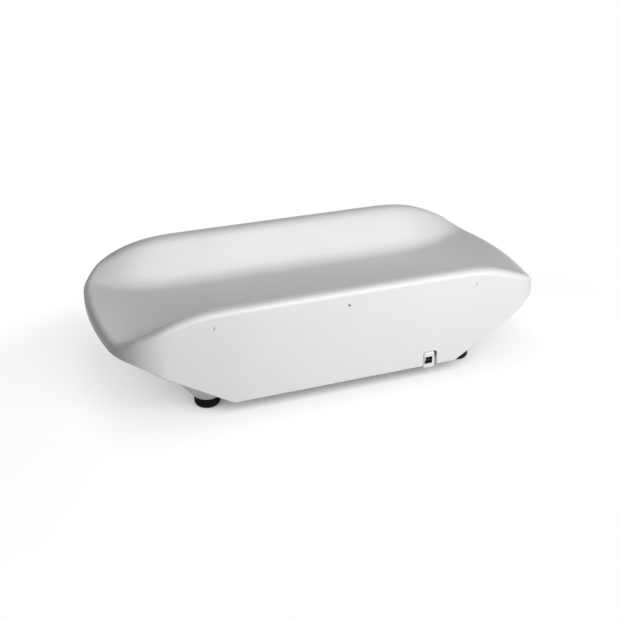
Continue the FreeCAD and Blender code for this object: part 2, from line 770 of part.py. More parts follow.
def make_platform_frame():
    """The pressed steel frame that spreads the load of the tray onto the cell."""
    body = new_body("platform_frame_body")
    spine = size("frame_width") / 2
    arm = size("arm_width") / 2
    end_x = size("frame_arm_x") + arm
    inner_x = size("frame_arm_x") - arm
    end_y = size("frame_arm_y") + arm
    quarter = [(end_x, end_y), (inner_x, end_y), (inner_x, spine)]
    upper = quarter + [(-x, y) for x, y in reversed(quarter)]
    outline = upper + [(x, -y) for x, y in reversed(upper)]
    sketch = new_sketch(body, "XY_Plane", frame_low)
    draw_outline(sketch, outline)
    pad = add_pad(body, sketch, size("frame_thickness"))
    rounded = round_edges(body, pad, arm * 0.6,
                          lambda edge: runs_along("z")(edge)
                          and edge.BoundBox.XMax ** 2 > (inner_x.value + 1) ** 2)
    body.Tip = rounded
    doc.recompute()
    holes = new_sketch(body, "XY_Plane", frame_low)
    for x, y in corners(size("frame_arm_x"), size("frame_arm_y")):
        draw_circle(holes, x, y, size("screw_hole") / 2)
    for x in cell_bolt_places(1):
        draw_circle(holes, x, 0, size("cell_bolt") / 2 + size("fit_gap"))
    for side in (-1, 1):
        draw_circle(holes, side * size("frame_relief_x"), 0, spine * 0.55)
    add_pocket(body, holes)
    flanges = []
    depth = size("frame_flange")
    thickness = size("frame_thickness") * 0.6
    for number, side in enumerate((-1, 1)):
        edge = side * (spine - thickness / 2)
        flanges.append(box(f"frame_flange_{number}", both(inner_x - arm),
                           around(edge, thickness), (frame_low - depth, frame_low)))
    return node("platform_frame", fuse("platform_frame_pressed", [body] + flanges))


def screw(name, x, y, seat, reach, up):
    """A small screw whose head sits under (up) or on (down) the seat height."""
    head_height = size("screw_head") * 0.4
    head_low = seat - head_height if up else seat
    head = cylinder(name + "_head", size("screw_head"), "z", (x, y, head_low), head_height)
    stem_low = seat if up else seat - reach
    stem = cylinder(name + "_stem", size("screw_shank"), "z", (x, y, stem_low), reach)
    return fuse(name, [head, stem])


def make_tray_screws():
    reach = size("frame_thickness") + size("tray_screw_reach") - size("fit_gap")
    places = corners(size("frame_arm_x"), size("frame_arm_y"))
    parts = [screw(f"tray_screw_{n}", x, y, frame_low, reach, True)
             for n, (x, y) in enumerate(places)]
    return node("tray_screws", group("tray_screw_group", parts))


# ---- the base ----


def slanted_side(low, up):
    """A region under (or above) the line of the base: level, then rising to the ends."""
    rise = size("end_slope") * (far - size("flat_half"))
    edge = -tray_low if not up else ceiling * 2 + rise
    line = [(far, low + rise), (size("flat_half"), low), (-size("flat_half"), low),
            (-far, low + rise)]
    return [(-far, edge), (far, edge)] + line


def base_body(name, inset, low, upper, lower):
    """A block inside the base outline, cut to the base line at its lower or upper side."""
    body = plan_block(name, base_half_x - inset, base_half_y - inset,
                      size("base_corner") - inset, low, ceiling)
    for region, up in ((lower, False), (upper, True)):
        if region is not None:
            sketch = new_sketch(body, "XZ_Plane")
            draw_outline(sketch, slanted_side(region, up))
            add_pocket(body, sketch)
    return body


def foot_pods():
    """Flaring pods that carry the feet below the slanted underside."""
    flare = size("pod_flare") * size("pod_height") * 2
    low = size("foot_diameter") + size("pod_rim") * 2
    return [cone(f"pod_{n}", low, low + flare, (x, y, size("foot_height")), size("pod_height"))
            for n, (x, y) in enumerate(corners(foot_x, foot_y))]


def under_space(name):
    """The space under the base, without the pods."""
    body = new_body(name + "_side")
    sketch = new_sketch(body, "XZ_Plane")
    draw_outline(sketch, slanted_side(size("base_low_z"), False))
    add_pad(body, sketch, size("tray_depth") * 1.2, symmetric=True)
    return cut(name, body, fuse("foot_pods", foot_pods()))


bay_half_y = size("cell_aa_diameter") * 2 + size("bay_gap") * 2.5
bay_low_x = -size("flat_half") + size("base_wall")
bay_high_x = bay_low_x + size("cell_aa_length") + size("bay_spring") + size("bay_gap") * 2
rail_top = base_top + size("base_wall")


def stop_posts(below):
    """The posts of the overload stops, trimmed to the underside of the base."""
    posts = [cylinder(f"stop_post_{n}", size("stop_post"), "z", (x, y, base_top),
                      stop_seat - base_top)
             for n, (x, y) in enumerate(corners(size("frame_arm_x"), size("stop_y")))]
    return cut("stop_posts", fuse("stop_post_blanks", posts), below)


def base_solids():
    """What stands up from the base plate: cell seat, rails, socket block."""
    parts = []
    seat_x = spacer_range(-1)
    parts.append(box("cell_plinth", (seat_x[0] - 4, seat_x[1] + 4),
                     both(size("cell_width") / 2 + 4),
                     (base_top, base_top + size("plinth_height"))))
    for n, side in enumerate((-1, 1)):
        line = (bay_half_y + 0.5, bay_half_y + size("rail_width"))
        if side < 0:
            line = (-line[1], -line[0])
        parts.append(box(f"cover_rail_{n}", (-size("flat_half"), bay_high_x + 1), line,
                         (size("base_low_z"), rail_top)))
    parts.append(box("socket_block", around(size("socket_x"), block_width),
                     (base_half_y - size("base_wall"), half_y - size("block_set")),
                     (size("block_low_z"), size("block_top_z"))))
    return parts


stop_seat = frame_low - size("stop_gap") - size("stop_head")
block_width = size("socket_width") + size("socket_rim") * 2
board_low = base_top + size("fit_gap")
socket_low = board_low + size("board_thickness")
groove = (size("base_low_z") + 1, size("base_low_z") + 2.4)


def base_openings():
    """The holes and cut-outs of the base."""
    low = size("base_low_z") - size("base_wall")
    window_x = (-size("flat_half"), bay_high_x + 0.6)
    half_window = bay_half_y + 0.5
    parts = [
        box("bay_window", window_x, both(half_window), (low, rail_top)),
        box("cover_groove", window_x, both(half_window + size("tongue")), groove),
        box("cover_run_out", (-size("flat_half") - size("base_wall") * 2, window_x[0]),
            both(half_window + size("tongue")), (low, rail_top + size("base_wall") * 2)),
        box("socket_opening", around(size("socket_x"), size("socket_width") + size("fit_gap")),
            (base_half_y - size("base_wall") * 2, half_y + size("base_wall")),
            (socket_low, socket_low + size("socket_height") + size("fit_gap"))),
        box("console_seat", both(size("console_width") / 2 + size("key_gap")),
            (-base_half_y - size("base_wall"), -base_half_y + size("base_wall") * 2),
            (base_top, size("console_top_z"))),
    ]
    for n, x in enumerate(cell_bolt_places(-1)):
        depth = cell_low - low
        parts.append(cylinder(f"bolt_way_{n}", size("cell_bolt") + size("fit_gap") * 2, "z",
                              (x, 0, low), depth))
        parts.append(cylinder(f"bolt_sink_{n}", size("cell_bolt") * 1.7 + size("fit_gap") * 4,
                              "z", (x, 0, low), size("base_low_z") - low
                              + size("cell_bolt") * 0.6 + size("fit_gap")))
    for n, (x, y) in enumerate(corners(foot_x, foot_y)):
        parts.append(cylinder(f"foot_socket_{n}", size("foot_stem") + size("fit_gap") * 2, "z",
                              (x, y, 0), size("foot_height") + size("foot_stem_length")
                              + size("fit_gap")))
    for n, (x, y) in enumerate(corners(size("frame_arm_x"), size("stop_y"))):
        parts.append(cylinder(f"stop_pilot_{n}", size("screw_shank") + size("fit_gap"), "z",
                              (x, y, stop_seat - size("stop_reach")), size("stop_reach")))
    for n, side in enumerate((-1, 1)):
        parts.append(cylinder(f"console_hole_{n}", size("screw_hole"), "z",
                              (side * size("console_screw_x"), console_screw_y, low),
                              base_top - low))
        parts.append(cylinder(f"console_sink_{n}", size("screw_head") + size("fit_gap") * 2, "z",
                              (side * size("console_screw_x"), console_screw_y, low),
                              size("base_low_z") + size("console_screw_head") - low))
    return parts


console_screw_y = -console_back_y - size("screw_head") * 1.2


def make_base():
    """The moulded base: a shallow tub with slanted ends, pods, seats and openings."""
    low = size("base_low_z")
    block = base_body("base_block", 0, size("foot_height"), low + size("base_lip"), None)
    below = under_space("base_under_space")
    outside = cut("base_outside", block, below)
    inside = base_body("base_inside", size("base_wall"), low, None, base_top)
    tub = cut("base_tub", outside, inside)
    whole = fuse("base_moulded", [tub, stop_posts(below)] + base_solids())
    return node("base_tray", cut("base_cut", whole, fuse("base_cuts", base_openings())))


def make_feet():
    """Black rubber feet with a domed underside and a stem pressed into the pod."""
    radius = size("foot_diameter") / 2
    height = size("foot_height")
    stem = size("foot_stem") / 2
    dome = height * 0.45
    top = height + size("foot_stem_length")
    outline = [(0, 0), (size("foot_flat"), 0), (radius, dome), (radius, height),
               (stem, height), (stem, top), (0, top)]
    feet = []
    for n, (x, y) in enumerate(corners(foot_x, foot_y)):
        body = new_body(f"foot_{n}")
        sketch = new_sketch(body, "XZ_Plane")
        draw_outline(sketch, outline, {1: -size("foot_bulge")})
        turned = body.newObject("PartDesign::Revolution", body.Name + "_turned")
        turned.Profile = sketch
        turned.ReferenceAxis = (sketch, ["V_Axis"])
        turned.Angle = 360
        bind(body, "Placement.Base.x", x)
        bind(body, "Placement.Base.y", y)
        feet.append(body)
    return node("rubber_feet", group("foot_group", feet))


def make_stops():
    """Overload stops: screws under the cross arms that catch the frame."""
    parts = []
    for n, (x, y) in enumerate(corners(size("frame_arm_x"), size("stop_y"))):
        head = cylinder(f"stop_head_{n}", size("stop_post") * 0.8, "z", (x, y, stop_seat),
                        size("stop_head"))
        reach = size("stop_reach") - size("fit_gap")
        stem = cylinder(f"stop_stem_{n}", size("screw_shank"), "z",
                        (x, y, stop_seat - reach), reach)
        parts.append(fuse(f"overload_stop_{n}", [head, stem]))
    return node("overload_stops", group("overload_stop_group", parts))


# ---- the battery bay ----


def battery_lines():
    """The y places of the four batteries."""
    pitch = size("cell_aa_diameter") + size("bay_gap")
    return [pitch * k for k in (-1.5, -0.5, 0.5, 1.5)]


cover_low = size("base_low_z")
cover_top = cover_low + size("cover_thickness")
battery_z = cover_top + size("bay_gap") + size("cell_aa_diameter") / 2
bay_top = battery_z + size("cell_aa_diameter") / 2 + size("bay_gap")


def make_battery_bay():
    """The box over the batteries, the batteries, their contacts and the sliding cover."""
    wall = size("base_wall") * 0.6
    outer = box("bay_outer", (bay_low_x - wall, bay_high_x + wall),
                both(bay_half_y + wall), (rail_top, bay_top + wall))
    inner = box("bay_inner", (bay_low_x, bay_high_x), both(bay_half_y),
                (rail_top - wall, bay_top))
    node("battery_box", cut("battery_box_cut", outer, inner))
    contact = size("contact_thickness")
    cells, contacts = [], []
    for n, y in enumerate(battery_lines()):
        turned = n % 2 == 1
        plus_x = bay_low_x + contact
        start = plus_x + size("battery_button") if not turned else bay_low_x + size("bay_spring")
        case = cylinder(f"battery_case_{n}", size("cell_aa_diameter"), "x",
                        (start, y, battery_z), size("cell_aa_length") - size("battery_button"))
        button_x = start - size("battery_button") if not turned else (
            start + size("cell_aa_length") - size("battery_button"))
        button = cylinder(f"battery_button_{n}", size("cell_aa_diameter") * 0.4, "x",
                          (button_x, y, battery_z), size("battery_button"))
        cells.append(fuse(f"battery_{n}", [case, button]))
        for side, x in enumerate((bay_low_x, bay_high_x - contact)):
            contacts.append(box(f"contact_{n}_{side}", (x, x + contact),
                                around(y, size("cell_aa_diameter") * 0.7),
                                around(battery_z, size("cell_aa_diameter") * 0.7)))
    node("batteries", group("battery_group", cells))
    node("battery_contacts", group("battery_contact_group", contacts))
    node("battery_springs", group("battery_spring_group", battery_springs(contact)))
    node("battery_cover", make_cover())


def battery_springs(contact):
    """The springs that press on the flat ends of the batteries."""
    springs = []
    for n, y in enumerate(battery_lines()):
        turned = n % 2 == 1
        low, high = bay_low_x + contact, bay_low_x + size("bay_spring") - size("bay_gap") / 2
        if not turned:
            low = bay_low_x + contact + size("cell_aa_length") + size("bay_gap") / 2
            high = bay_high_x - contact
        springs.append(cylinder(f"battery_spring_{n}", size("cell_aa_diameter") * 0.5, "x",
                                (low, y, battery_z), high - low))
    return springs


def make_cover():
    """The battery cover with tongues that run in the base's grooves."""
    gap = size("key_gap")
    plate = box("cover_plate", (-size("flat_half") + gap - 3, bay_high_x + 0.6 - gap),
                both(bay_half_y + 0.5 - gap), (cover_low, cover_top))
    tongues = box("cover_tongues", (-size("flat_half") + 1, bay_high_x - 0.4),
                  both(bay_half_y + 0.5 + size("tongue") - gap),
                  (groove[0] + 0.3, cover_top))
    grips = [box(f"cover_grip_{n}", around(-size("flat_half") + 6 + 3 * n, 1),
                 both(bay_half_y * 0.4), (cover_low - 0.1, cover_low + 0.5)) for n in range(4)]
    return cut("cover_gripped", fuse("cover_body", [plate, tongues]), fuse("cover_grips", grips))


# ---- the power socket ----


def make_socket():
    """The power socket in its block and the little board that it is soldered to."""
    body = new_body("power_socket_body")
    front = half_y - size("block_set") - size("socket_set")
    middle = socket_low + size("socket_height") / 2
    sketch = new_sketch(body, "XZ_Plane", -front)
    draw_rectangle(sketch, around(size("socket_x"), size("socket_width")),
                   (socket_low, socket_low + size("socket_height")))
    add_pad(body, sketch, size("socket_length"))
    rim = size("socket_rim")
    mouth = box("socket_mouth", around(size("socket_x"), size("socket_width") - rim * 2),
                (front - size("socket_depth"), front + 1),
                around(middle, size("socket_height") - rim * 2))
    node("power_socket", cut("power_socket_cut", body, mouth))
    pin_x = size("socket_x") + size("socket_width") / 2 - rim - size("pin_set")
    node("socket_pin", box("socket_pin_blade", around(pin_x, size("pin_width")),
                           (front - size("socket_depth"), front - rim * 2),
                           around(middle, size("socket_height") * 0.35)))
    node("socket_board", box("socket_board_plate", around(size("socket_x"), 30),
                             (base_half_y - size("base_wall") * 2 - 30,
                              base_half_y - size("base_wall") - size("fit_gap") * 3),
                             (board_low, board_low + size("board_thickness"))))


# ---- the console ----
# Its pieces are drawn in the plane of the slanted face: X along it, Y into it, Z up the face.

face_rise = size("console_top_z") - base_top
face_lean = console_foot_y - console_head_y
face_length = (face_rise * face_rise + face_lean * face_lean).root()
face_angle = math.degrees(math.atan2(face_lean.value, face_rise.value))
wall_back = size("console_wall")
flange_back = wall_back + size("fit_gap") + size("key_flange")
board_front = size("board_depth")
board_back = board_front + size("board_thickness")
stem_dip = size("switch_depth") / 4


def lean(thing):
    """Move a piece from the plane of the face to its place on the scale."""
    thing.Placement = Placement(Vector(), Rotation(Vector(1, 0, 0), -face_angle))
    bind(thing, "Placement.Base.y", -console_foot_y)
    bind(thing, "Placement.Base.z", base_top)
    return thing


def key_places():
    """The x places of the four buttons."""
    return [size("key_pitch") * k for k in (-1.5, -0.5, 0.5, 1.5)]


def window_range(extra):
    """The display window widened all round, as ranges along the face and up it."""
    middle = size("window_low") + size("window_height") / 2
    return (both(size("window_width") / 2 + extra),
            around(middle, size("window_height") + extra * 2))


def board_post_places():
    """Where the main board is screwed to the housing, along the face and up it."""
    low = size("key_low") - size("screw_head") / 2
    high = size("window_low") + size("window_height") - size("screw_head") / 2
    return [(side * size("console_screw_x"), z) for side in (-1, 1) for z in (low, high)]


def make_housing():
    """The slanted console housing, open at the back, with its window, keys and posts."""
    body = new_body("console_outline")
    top = size("console_top_z")
    sketch = new_sketch(body, "YZ_Plane")
    draw_outline(sketch, [(-console_foot_y, base_top), (-console_back_y, base_top),
                          (-console_back_y, top), (-console_head_y, top)])
    pad = add_pad(body, sketch, size("console_width"), symmetric=True)
    front = -console_back_y.value - 1
    round_edges(body, pad, size("console_edge"),
                lambda edge: edge.BoundBox.YMax < front and edge.BoundBox.ZMax > base_top.value + 1)
    wall = size("console_wall")
    hollow = new_body("console_hollow")
    inner = new_sketch(hollow, "YZ_Plane")
    step = wall * face_length / face_rise
    run = face_lean / face_rise
    draw_outline(inner, [(-console_foot_y + step + wall * run, base_top + wall),
                         (0, base_top + wall), (0, top - wall),
                         (-console_head_y + step - wall * run, top - wall)])
    add_pad(hollow, inner, size("console_width") - wall * 2, symmetric=True)
    shell = cut("console_shell", body, hollow)
    fixings = [cylinder(f"console_boss_{n}", size("screw_head") * 1.4, "z",
                        (side * size("console_screw_x"), console_screw_y, base_top),
                        size("console_boss")) for n, side in enumerate((-1, 1))]
    posts = [cylinder(f"board_post_{n}", size("screw_head"), "y", (x, wall / 2, z),
                      board_front - wall / 2) for n, (x, z) in enumerate(board_post_places())]
    whole = fuse("console_moulded", [shell, lean(fuse("board_posts", posts))] + fixings)
    cuts = [lean(fuse("console_face_cuts", face_openings()))] + console_pilots()
    return node("console_housing", cut("console_cut", whole, fuse("console_cuts", cuts)))


def console_pilots():
    """The screw holes in the console's bosses."""
    return [cylinder(f"console_pilot_{n}", size("screw_shank") + size("fit_gap"), "z",
                     (side * size("console_screw_x"), console_screw_y, base_top),
                     size("console_boss") - size("console_wall"))
            for n, side in enumerate((-1, 1))]


def face_openings():
    """The window with its rebate, the key holes and the pilot holes of the board posts."""
    wall = size("console_wall")
    through = (-wall, wall * 2)
    wide, high = window_range(0)
    lens_wide, lens_high = window_range(size("lens_lap"))
    parts = [box("window_hole", wide, through, high),
             box("lens_rebate", lens_wide, (-wall, size("lens_thickness") + size("fit_gap")),
                 lens_high)]
    for n, x in enumerate(key_places()):
        parts.append(rounded_plate(f"key_hole_{n}", x, through, size("key_gap")))
    for n, (x, z) in enumerate(board_post_places()):
        parts.append(cylinder(f"post_pilot_{n}", size("screw_shank") + size("fit_gap"), "y",
                              (x, wall * 1.5, z), board_front - wall * 1.5))
    return parts


def face_plate(name, wide, through, high):
    """A flat plate parallel to the face, across the given depths."""
    body = new_body(name)
    sketch = new_sketch(body, "XZ_Plane", -through[1])
    draw_rectangle(sketch, wide, high)
    add_pad(body, sketch, through[1] - through[0])
    return body


def rounded_plate(name, x, through, extra):
    """A plate in the outline of a button, widened all round, across the given depths."""
    body = face_plate(name, around(x, size("key_width") + extra * 2), through,
                      around(size("key_low"), size("key_height") + extra * 2))
    round_edges(body, body.Tip, size("key_corner") + extra, runs_along("y"))
    return body


def make_display():
    """The window lens, the display panel behind it and the frame that holds the panel."""
    gap = size("fit_gap")
    wide, high = window_range(size("lens_lap") - gap)
    node("display_lens", lean(face_plate("lens_plate", wide,
                                         (gap, gap + size("lens_thickness")), high)))
    front = wall_back + gap
    back = front + size("panel_thickness")
    node("lcd_panel", lean(face_plate("lcd_plate", wide, (front, back), high)))
    inner_wide, inner_high = window_range(-size("lens_lap"))
    outer = box("holder_block", wide, (back, board_front), high)
    inner = box("holder_space", inner_wide, (back - gap, board_front + gap), inner_high)
    node("display_holder", lean(cut("holder_ring", outer, inner)))


def make_board():
    """The main circuit board with its screws and the four push switches."""
    low = size("key_low") - size("key_height") / 2 - size("fit_gap") * 10
    high = face_length - size("console_wall") - size("fit_gap") * 10
    reach = size("console_screw_x") + size("screw_head") / 2
    plate = box("board_plate", both(reach), (board_front, board_back), (low, high))
    holes = [cylinder(f"board_hole_{n}", size("screw_hole"), "y", (x, board_front, z),
                      size("board_thickness"))
             for n, (x, z) in enumerate(board_post_places())]
    node("main_board", lean(cut("board_drilled", plate, fuse("board_holes", holes))))
    parts = []
    for n, (x, z) in enumerate(board_post_places()):
        head = cylinder(f"board_screw_head_{n}", size("screw_head"), "y", (x, board_back, z),
                        size("screw_head") * 0.4)
        reach = board_back - size("console_wall") * 2
        stem = cylinder(f"board_screw_stem_{n}", size("screw_shank"), "y",
                        (x, board_back - reach, z), reach)
        parts.append(fuse(f"board_screw_{n}", [head, stem]))
    node("board_screws", lean(group("board_screw_group", parts)))
    switches = []
    for n, x in enumerate(key_places()):
        block = box(f"switch_block_{n}", around(x, size("switch_width")),
                    (board_front - size("switch_depth"), board_front),
                    around(size("key_low"), size("switch_width")))
        bore = cylinder(f"switch_bore_{n}", size("key_stem") + size("key_gap") * 2, "y",
                        (x, board_front - size("switch_depth"), size("key_low")),
                        stem_dip + size("key_travel") + size("key_gap"))
        switches.append(cut(f"switch_{n}", block, bore))
    node("key_switches", lean(group("switch_group", switches)))


def make_buttons():
    """Four buttons: a cap, a flange that keeps it behind the face and a stem to its switch."""
    stem_end = board_front - size("switch_depth") + stem_dip
    for name, x in zip(("power", "zero", "hold", "unit"), key_places()):
        cap = rounded_plate(f"{name}_cap", x, (-size("key_rise"), wall_back + size("fit_gap")),
                            0)
        reach = size("key_flange") * 2
        flange = box(f"{name}_flange", around(x, size("key_width") + reach),
                     (wall_back + size("fit_gap"), flange_back),
                     around(size("key_low"), size("key_height") + reach))
        stem = cylinder(f"{name}_stem", size("key_stem"), "y",
                        (x, flange_back, size("key_low")), stem_end - flange_back)
        node(f"{name}_button", lean(fuse(f"{name}_moulded", [cap, flange, stem])))


def make_console_screws():
    """Screws that hold the console from under the base."""
    reach = base_top - size("base_low_z") - size("console_screw_head") + size("console_boss") \
        - size("console_wall") - size("fit_gap")
    seat = size("base_low_z") + size("console_screw_head")
    parts = []
    for n, side in enumerate((-1, 1)):
        x = side * size("console_screw_x")
        head = cylinder(f"console_screw_head_{n}", size("screw_head"), "z",
                        (x, console_screw_y, size("base_low_z")), size("console_screw_head"))
        stem = cylinder(f"console_screw_stem_{n}", size("screw_shank"), "z",
                        (x, console_screw_y, seat), reach)
        parts.append(fuse(f"console_screw_{n}", [head, stem]))
    node("console_screws", group("console_screw_group", parts))


# ---- building, checking and writing ----


def build():
    make_tray()
    make_inserts()
    make_tray_screws()
    make_platform_frame()
    make_load_cell()
    make_spacer("base_spacer", -1, base_top + size("plinth_height"))
    make_spacer("frame_spacer", 1, cell_top)
    make_cell_bolts()
    make_base()
    make_feet()
    make_stops()
    make_battery_bay()
    make_socket()
    make_housing()
    make_display()
    make_board()
    make_buttons()
    make_console_screws()
    doc.recompute()


def check():
    """Stop when any object of the document or any finished sub-part is not sound."""
    for thing in doc.Objects:
        if {"Invalid", "Error"} & set(thing.State):
            raise RuntimeError(f"{thing.Name} failed: {thing.State}")
    for label, thing in NODES.items():
        if thing.Shape.isNull() or not thing.Shape.isValid() or not thing.Shape.Solids:
            raise RuntimeError(f"{label} has no sound shape")


def write():
    os.makedirs("parts", exist_ok=True)
    for label, thing in NODES.items():
        thing.Shape.exportStep(f"parts/{label}.step")


build()
check()
write()
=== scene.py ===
"""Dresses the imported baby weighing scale: cradle tray, base, feet, console, fixings and stage."""

import math

import bmesh
import bpy
import numpy as np
from bpy.props import FloatProperty, FloatVectorProperty, PointerProperty
from mathutils import Matrix, Vector


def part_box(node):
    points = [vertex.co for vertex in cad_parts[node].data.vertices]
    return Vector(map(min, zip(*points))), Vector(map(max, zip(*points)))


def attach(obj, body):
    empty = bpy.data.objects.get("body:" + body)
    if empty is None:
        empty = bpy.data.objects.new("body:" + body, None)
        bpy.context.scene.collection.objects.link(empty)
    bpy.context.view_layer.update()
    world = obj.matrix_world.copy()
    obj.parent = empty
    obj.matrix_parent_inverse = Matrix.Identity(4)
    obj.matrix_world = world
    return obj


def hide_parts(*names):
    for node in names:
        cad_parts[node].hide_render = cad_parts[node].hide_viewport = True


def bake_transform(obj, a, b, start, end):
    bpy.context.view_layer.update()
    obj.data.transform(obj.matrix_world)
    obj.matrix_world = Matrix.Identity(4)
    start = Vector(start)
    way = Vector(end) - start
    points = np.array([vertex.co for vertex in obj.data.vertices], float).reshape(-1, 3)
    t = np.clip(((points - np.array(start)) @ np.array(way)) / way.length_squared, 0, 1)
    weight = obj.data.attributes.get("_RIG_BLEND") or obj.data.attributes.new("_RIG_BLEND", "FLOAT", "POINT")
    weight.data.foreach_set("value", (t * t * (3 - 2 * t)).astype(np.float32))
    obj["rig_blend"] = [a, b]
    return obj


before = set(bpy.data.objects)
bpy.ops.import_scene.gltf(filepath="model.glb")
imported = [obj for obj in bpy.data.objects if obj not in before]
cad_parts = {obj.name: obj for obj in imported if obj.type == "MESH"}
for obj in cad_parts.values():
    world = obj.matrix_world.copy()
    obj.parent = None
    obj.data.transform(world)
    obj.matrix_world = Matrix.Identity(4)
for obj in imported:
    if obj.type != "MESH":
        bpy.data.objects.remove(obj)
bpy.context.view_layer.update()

bl_info = {
    "name": "Baby weighing scale",
    "version": (1, 0, 0),
    "blender": (4, 5, 0),
    "location": "3D View > Sidebar > Scale",
    "description": "Builds the finished pieces of a cradle weighing scale round its CAD frame",
    "category": "Object",
}

MM = 0.001
# Points of a CAD mesh that lie closer than this are one point, in metres.
WELD = 2e-6
tray_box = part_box("tray_shell")


# ---- sizes and colours a user would change ----


def length(name, description, default, low=0.0, high=1.0):
    """A length in metres with its name, description and limits."""
    return FloatProperty(name=name, description=description, default=default, min=low,
                         max=high, unit="LENGTH", subtype="DISTANCE", precision=5)


def colour(name, description, default):
    """A plain colour."""
    return FloatVectorProperty(name=name, description=description, default=default, size=3,
                               min=0.0, max=1.0, subtype="COLOR")


def angle(name, description, degrees, low=-2 * math.pi, high=2 * math.pi):
    """An angle whose default is given in degrees."""
    return FloatProperty(name=name, description=description, default=math.radians(degrees),
                         min=low, max=high, unit="ROTATION")


def share(name, description, default, low=0.0, high=1.0):
    """A number without a unit."""
    return FloatProperty(name=name, description=description, default=default, min=low, max=high)


class TraySizes(bpy.types.PropertyGroup):
    """Sizes of the moulded cradle tray."""

    half_x: length("Half length", "From the middle to the tip of the tray",
                   tray_box[1].x)
    half_y: length("Half depth", "From the middle to the lower edge of a long wall",
                   tray_box[1].y)
    low_z: length("Lower edge", "Height of the tray's lower edge", tray_box[0].z)
    corner: length("Corner", "Plan radius of the outer corners", 64 * MM)
    rim: length("Rim", "Radius of the rim that rolls into the walls", 8 * MM)
    edge: length("Lower edge rounding", "Size of the rounded lower edge", 1.0 * MM)
    wall: length("Wall", "Thickness of the moulded wall", 3 * MM)
    draft: angle("Draft", "Lean of the walls", 1.5, 0.0, 0.1)


class FinishColours(bpy.types.PropertyGroup):
    """Colours of the mouldings and fittings."""

    white: colour("White moulding", "Tray, base and console", (0.83, 0.83, 0.82))
    grey: colour("Grey moulding", "Display surround and switch bodies", (0.42, 0.44, 0.46))
    keys: colour("Buttons", "The four buttons", (0.50, 0.56, 0.60))
    rubber: colour("Rubber", "The four feet", (0.006, 0.006, 0.007))
    black: colour("Black moulding", "Power inlet and battery box", (0.016, 0.016, 0.018))
    wear: share("Wear", "How far rubbed places change the finish", 0.5)


class StageSettings(bpy.types.PropertyGroup):
    """The camera's place, the lamps and the floor."""

    aim: FloatVectorProperty(name="Aim", description="Point the camera looks at", size=3,
                             default=(-0.0084, -0.0190, 0.0441), subtype="TRANSLATION",
                             unit="LENGTH")
    azimuth: angle("Azimuth", "Turn of the camera round the scale", 158.874)
    elevation: angle("Elevation", "Camera's angle above the floor", 25.796)
    distance: length("Distance", "From the camera to the aim", 1.4123, 0.2, 10.0)
    lens: FloatProperty(name="Lens", description="Focal length in millimetres", default=58.075,
                        min=10.0, max=300.0)
    ambient: share("Ambient", "Strength of the even light from all round", 0.05, 0.0, 2.0)
    floor_tone: share("Floor tone", "How bright the floor looks to the camera", 2.4, 0.0, 8.0)
    # Share of the floor near the scale that is a painted shadow: a white glow dimmed by nearness to the
    # scale, not by the lamps.
    floor_painted_shadow_share: share("Floor glow", "Share of the floor's brightness that only nearness dims", 0.88)
    floor_colour: colour("Floor", "Colour of the floor for the light it sends back",
                         (0.62, 0.62, 0.63))


# Each lamp: power in watts, turn and height in degrees, distance in metres, width and depth.
LAMPS = {"key": (7.7, 185, 32, 1.6, (1.0, 0.8)), "side": (7.6, 215, 20, 1.6, (1.0, 0.8)),
         "high": (3.2, 196, 42, 1.1, (0.6, 0.5))}
for lamp, (watts, turn, height, away, _) in LAMPS.items():
    StageSettings.__annotations__.update({
        f"{lamp}_power": share(f"{lamp.title()} power", "Power of the lamp in watts", watts,
                               0.0, 500.0),
        f"{lamp}_turn": angle(f"{lamp.title()} turn", "Turn of the lamp round the scale", turn),
        f"{lamp}_height": angle(f"{lamp.title()} height", "Angle of the lamp above the floor",
                                height),
        f"{lamp}_distance": length(f"{lamp.title()} distance", "From the scale to the lamp", away,
                                   0.3, 10.0)})


# ---- node trees written as sums ----


def math_method(operation, swapped=False):
    """A method of Signal that adds a Math node; swapped, the signal is the second number."""

    def method(self, other=0.0):
        first, second = (other, self) if swapped else (self, other)
        node = self.tree.add("ShaderNodeMath", {"operation": operation}, {0: first, 1: second})
        return Signal(self.tree, node.outputs[0])

    return method


class Signal:
    """A number in a node tree; sums and products with it add the Math nodes."""

    def __init__(self, tree, socket):
        self.tree = tree
        self.socket = socket

    __add__ = math_method("ADD")
    __radd__ = math_method("ADD", True)
    __sub__ = math_method("SUBTRACT")
    __rsub__ = math_method("SUBTRACT", True)
    __mul__ = math_method("MULTIPLY")
    __rmul__ = math_method("MULTIPLY", True)
    __truediv__ = math_method("DIVIDE")
    over = math_method("GREATER_THAN")
    most = math_method("MAXIMUM")
    wave = math_method("SINE")
    root = math_method("SQRT")

    def ease(self, low, high):
        """A smooth step from 0 at low to 1 at high."""
        node = self.tree.add("ShaderNodeMapRange", {"interpolation_type": "SMOOTHSTEP"},
                             {"Value": self, "From Min": low, "From Max": high})
        return Signal(self.tree, node.outputs[0])


class Tree:
    """Adds nodes to one node tree."""

    def __init__(self, nodes, links):
        self.nodes = nodes
        self.links = links

    def add(self, kind, settings=None, sockets=None):
        """A node of a kind: its settings first, then the values or links of its sockets."""
        node = self.nodes.new(kind)
        for name, value in (settings or {}).items():
            setattr(node, name, value)
        for name, value in (sockets or {}).items():
            self.feed(node.inputs[name], value)
        return node

    def feed(self, target, value):
        """Link a signal or socket to an input, or set the input's value."""
        if isinstance(value, Signal):
            value = value.socket
        if isinstance(value, bpy.types.NodeSocket):
            self.links.new(value, target)
        else:
            target.default_value = value

    def number(self, kind, settings=None, sockets=None, output=0):
        """The chosen output of a new node, ready for sums."""
        return Signal(self, self.add(kind, settings, sockets).outputs[output])


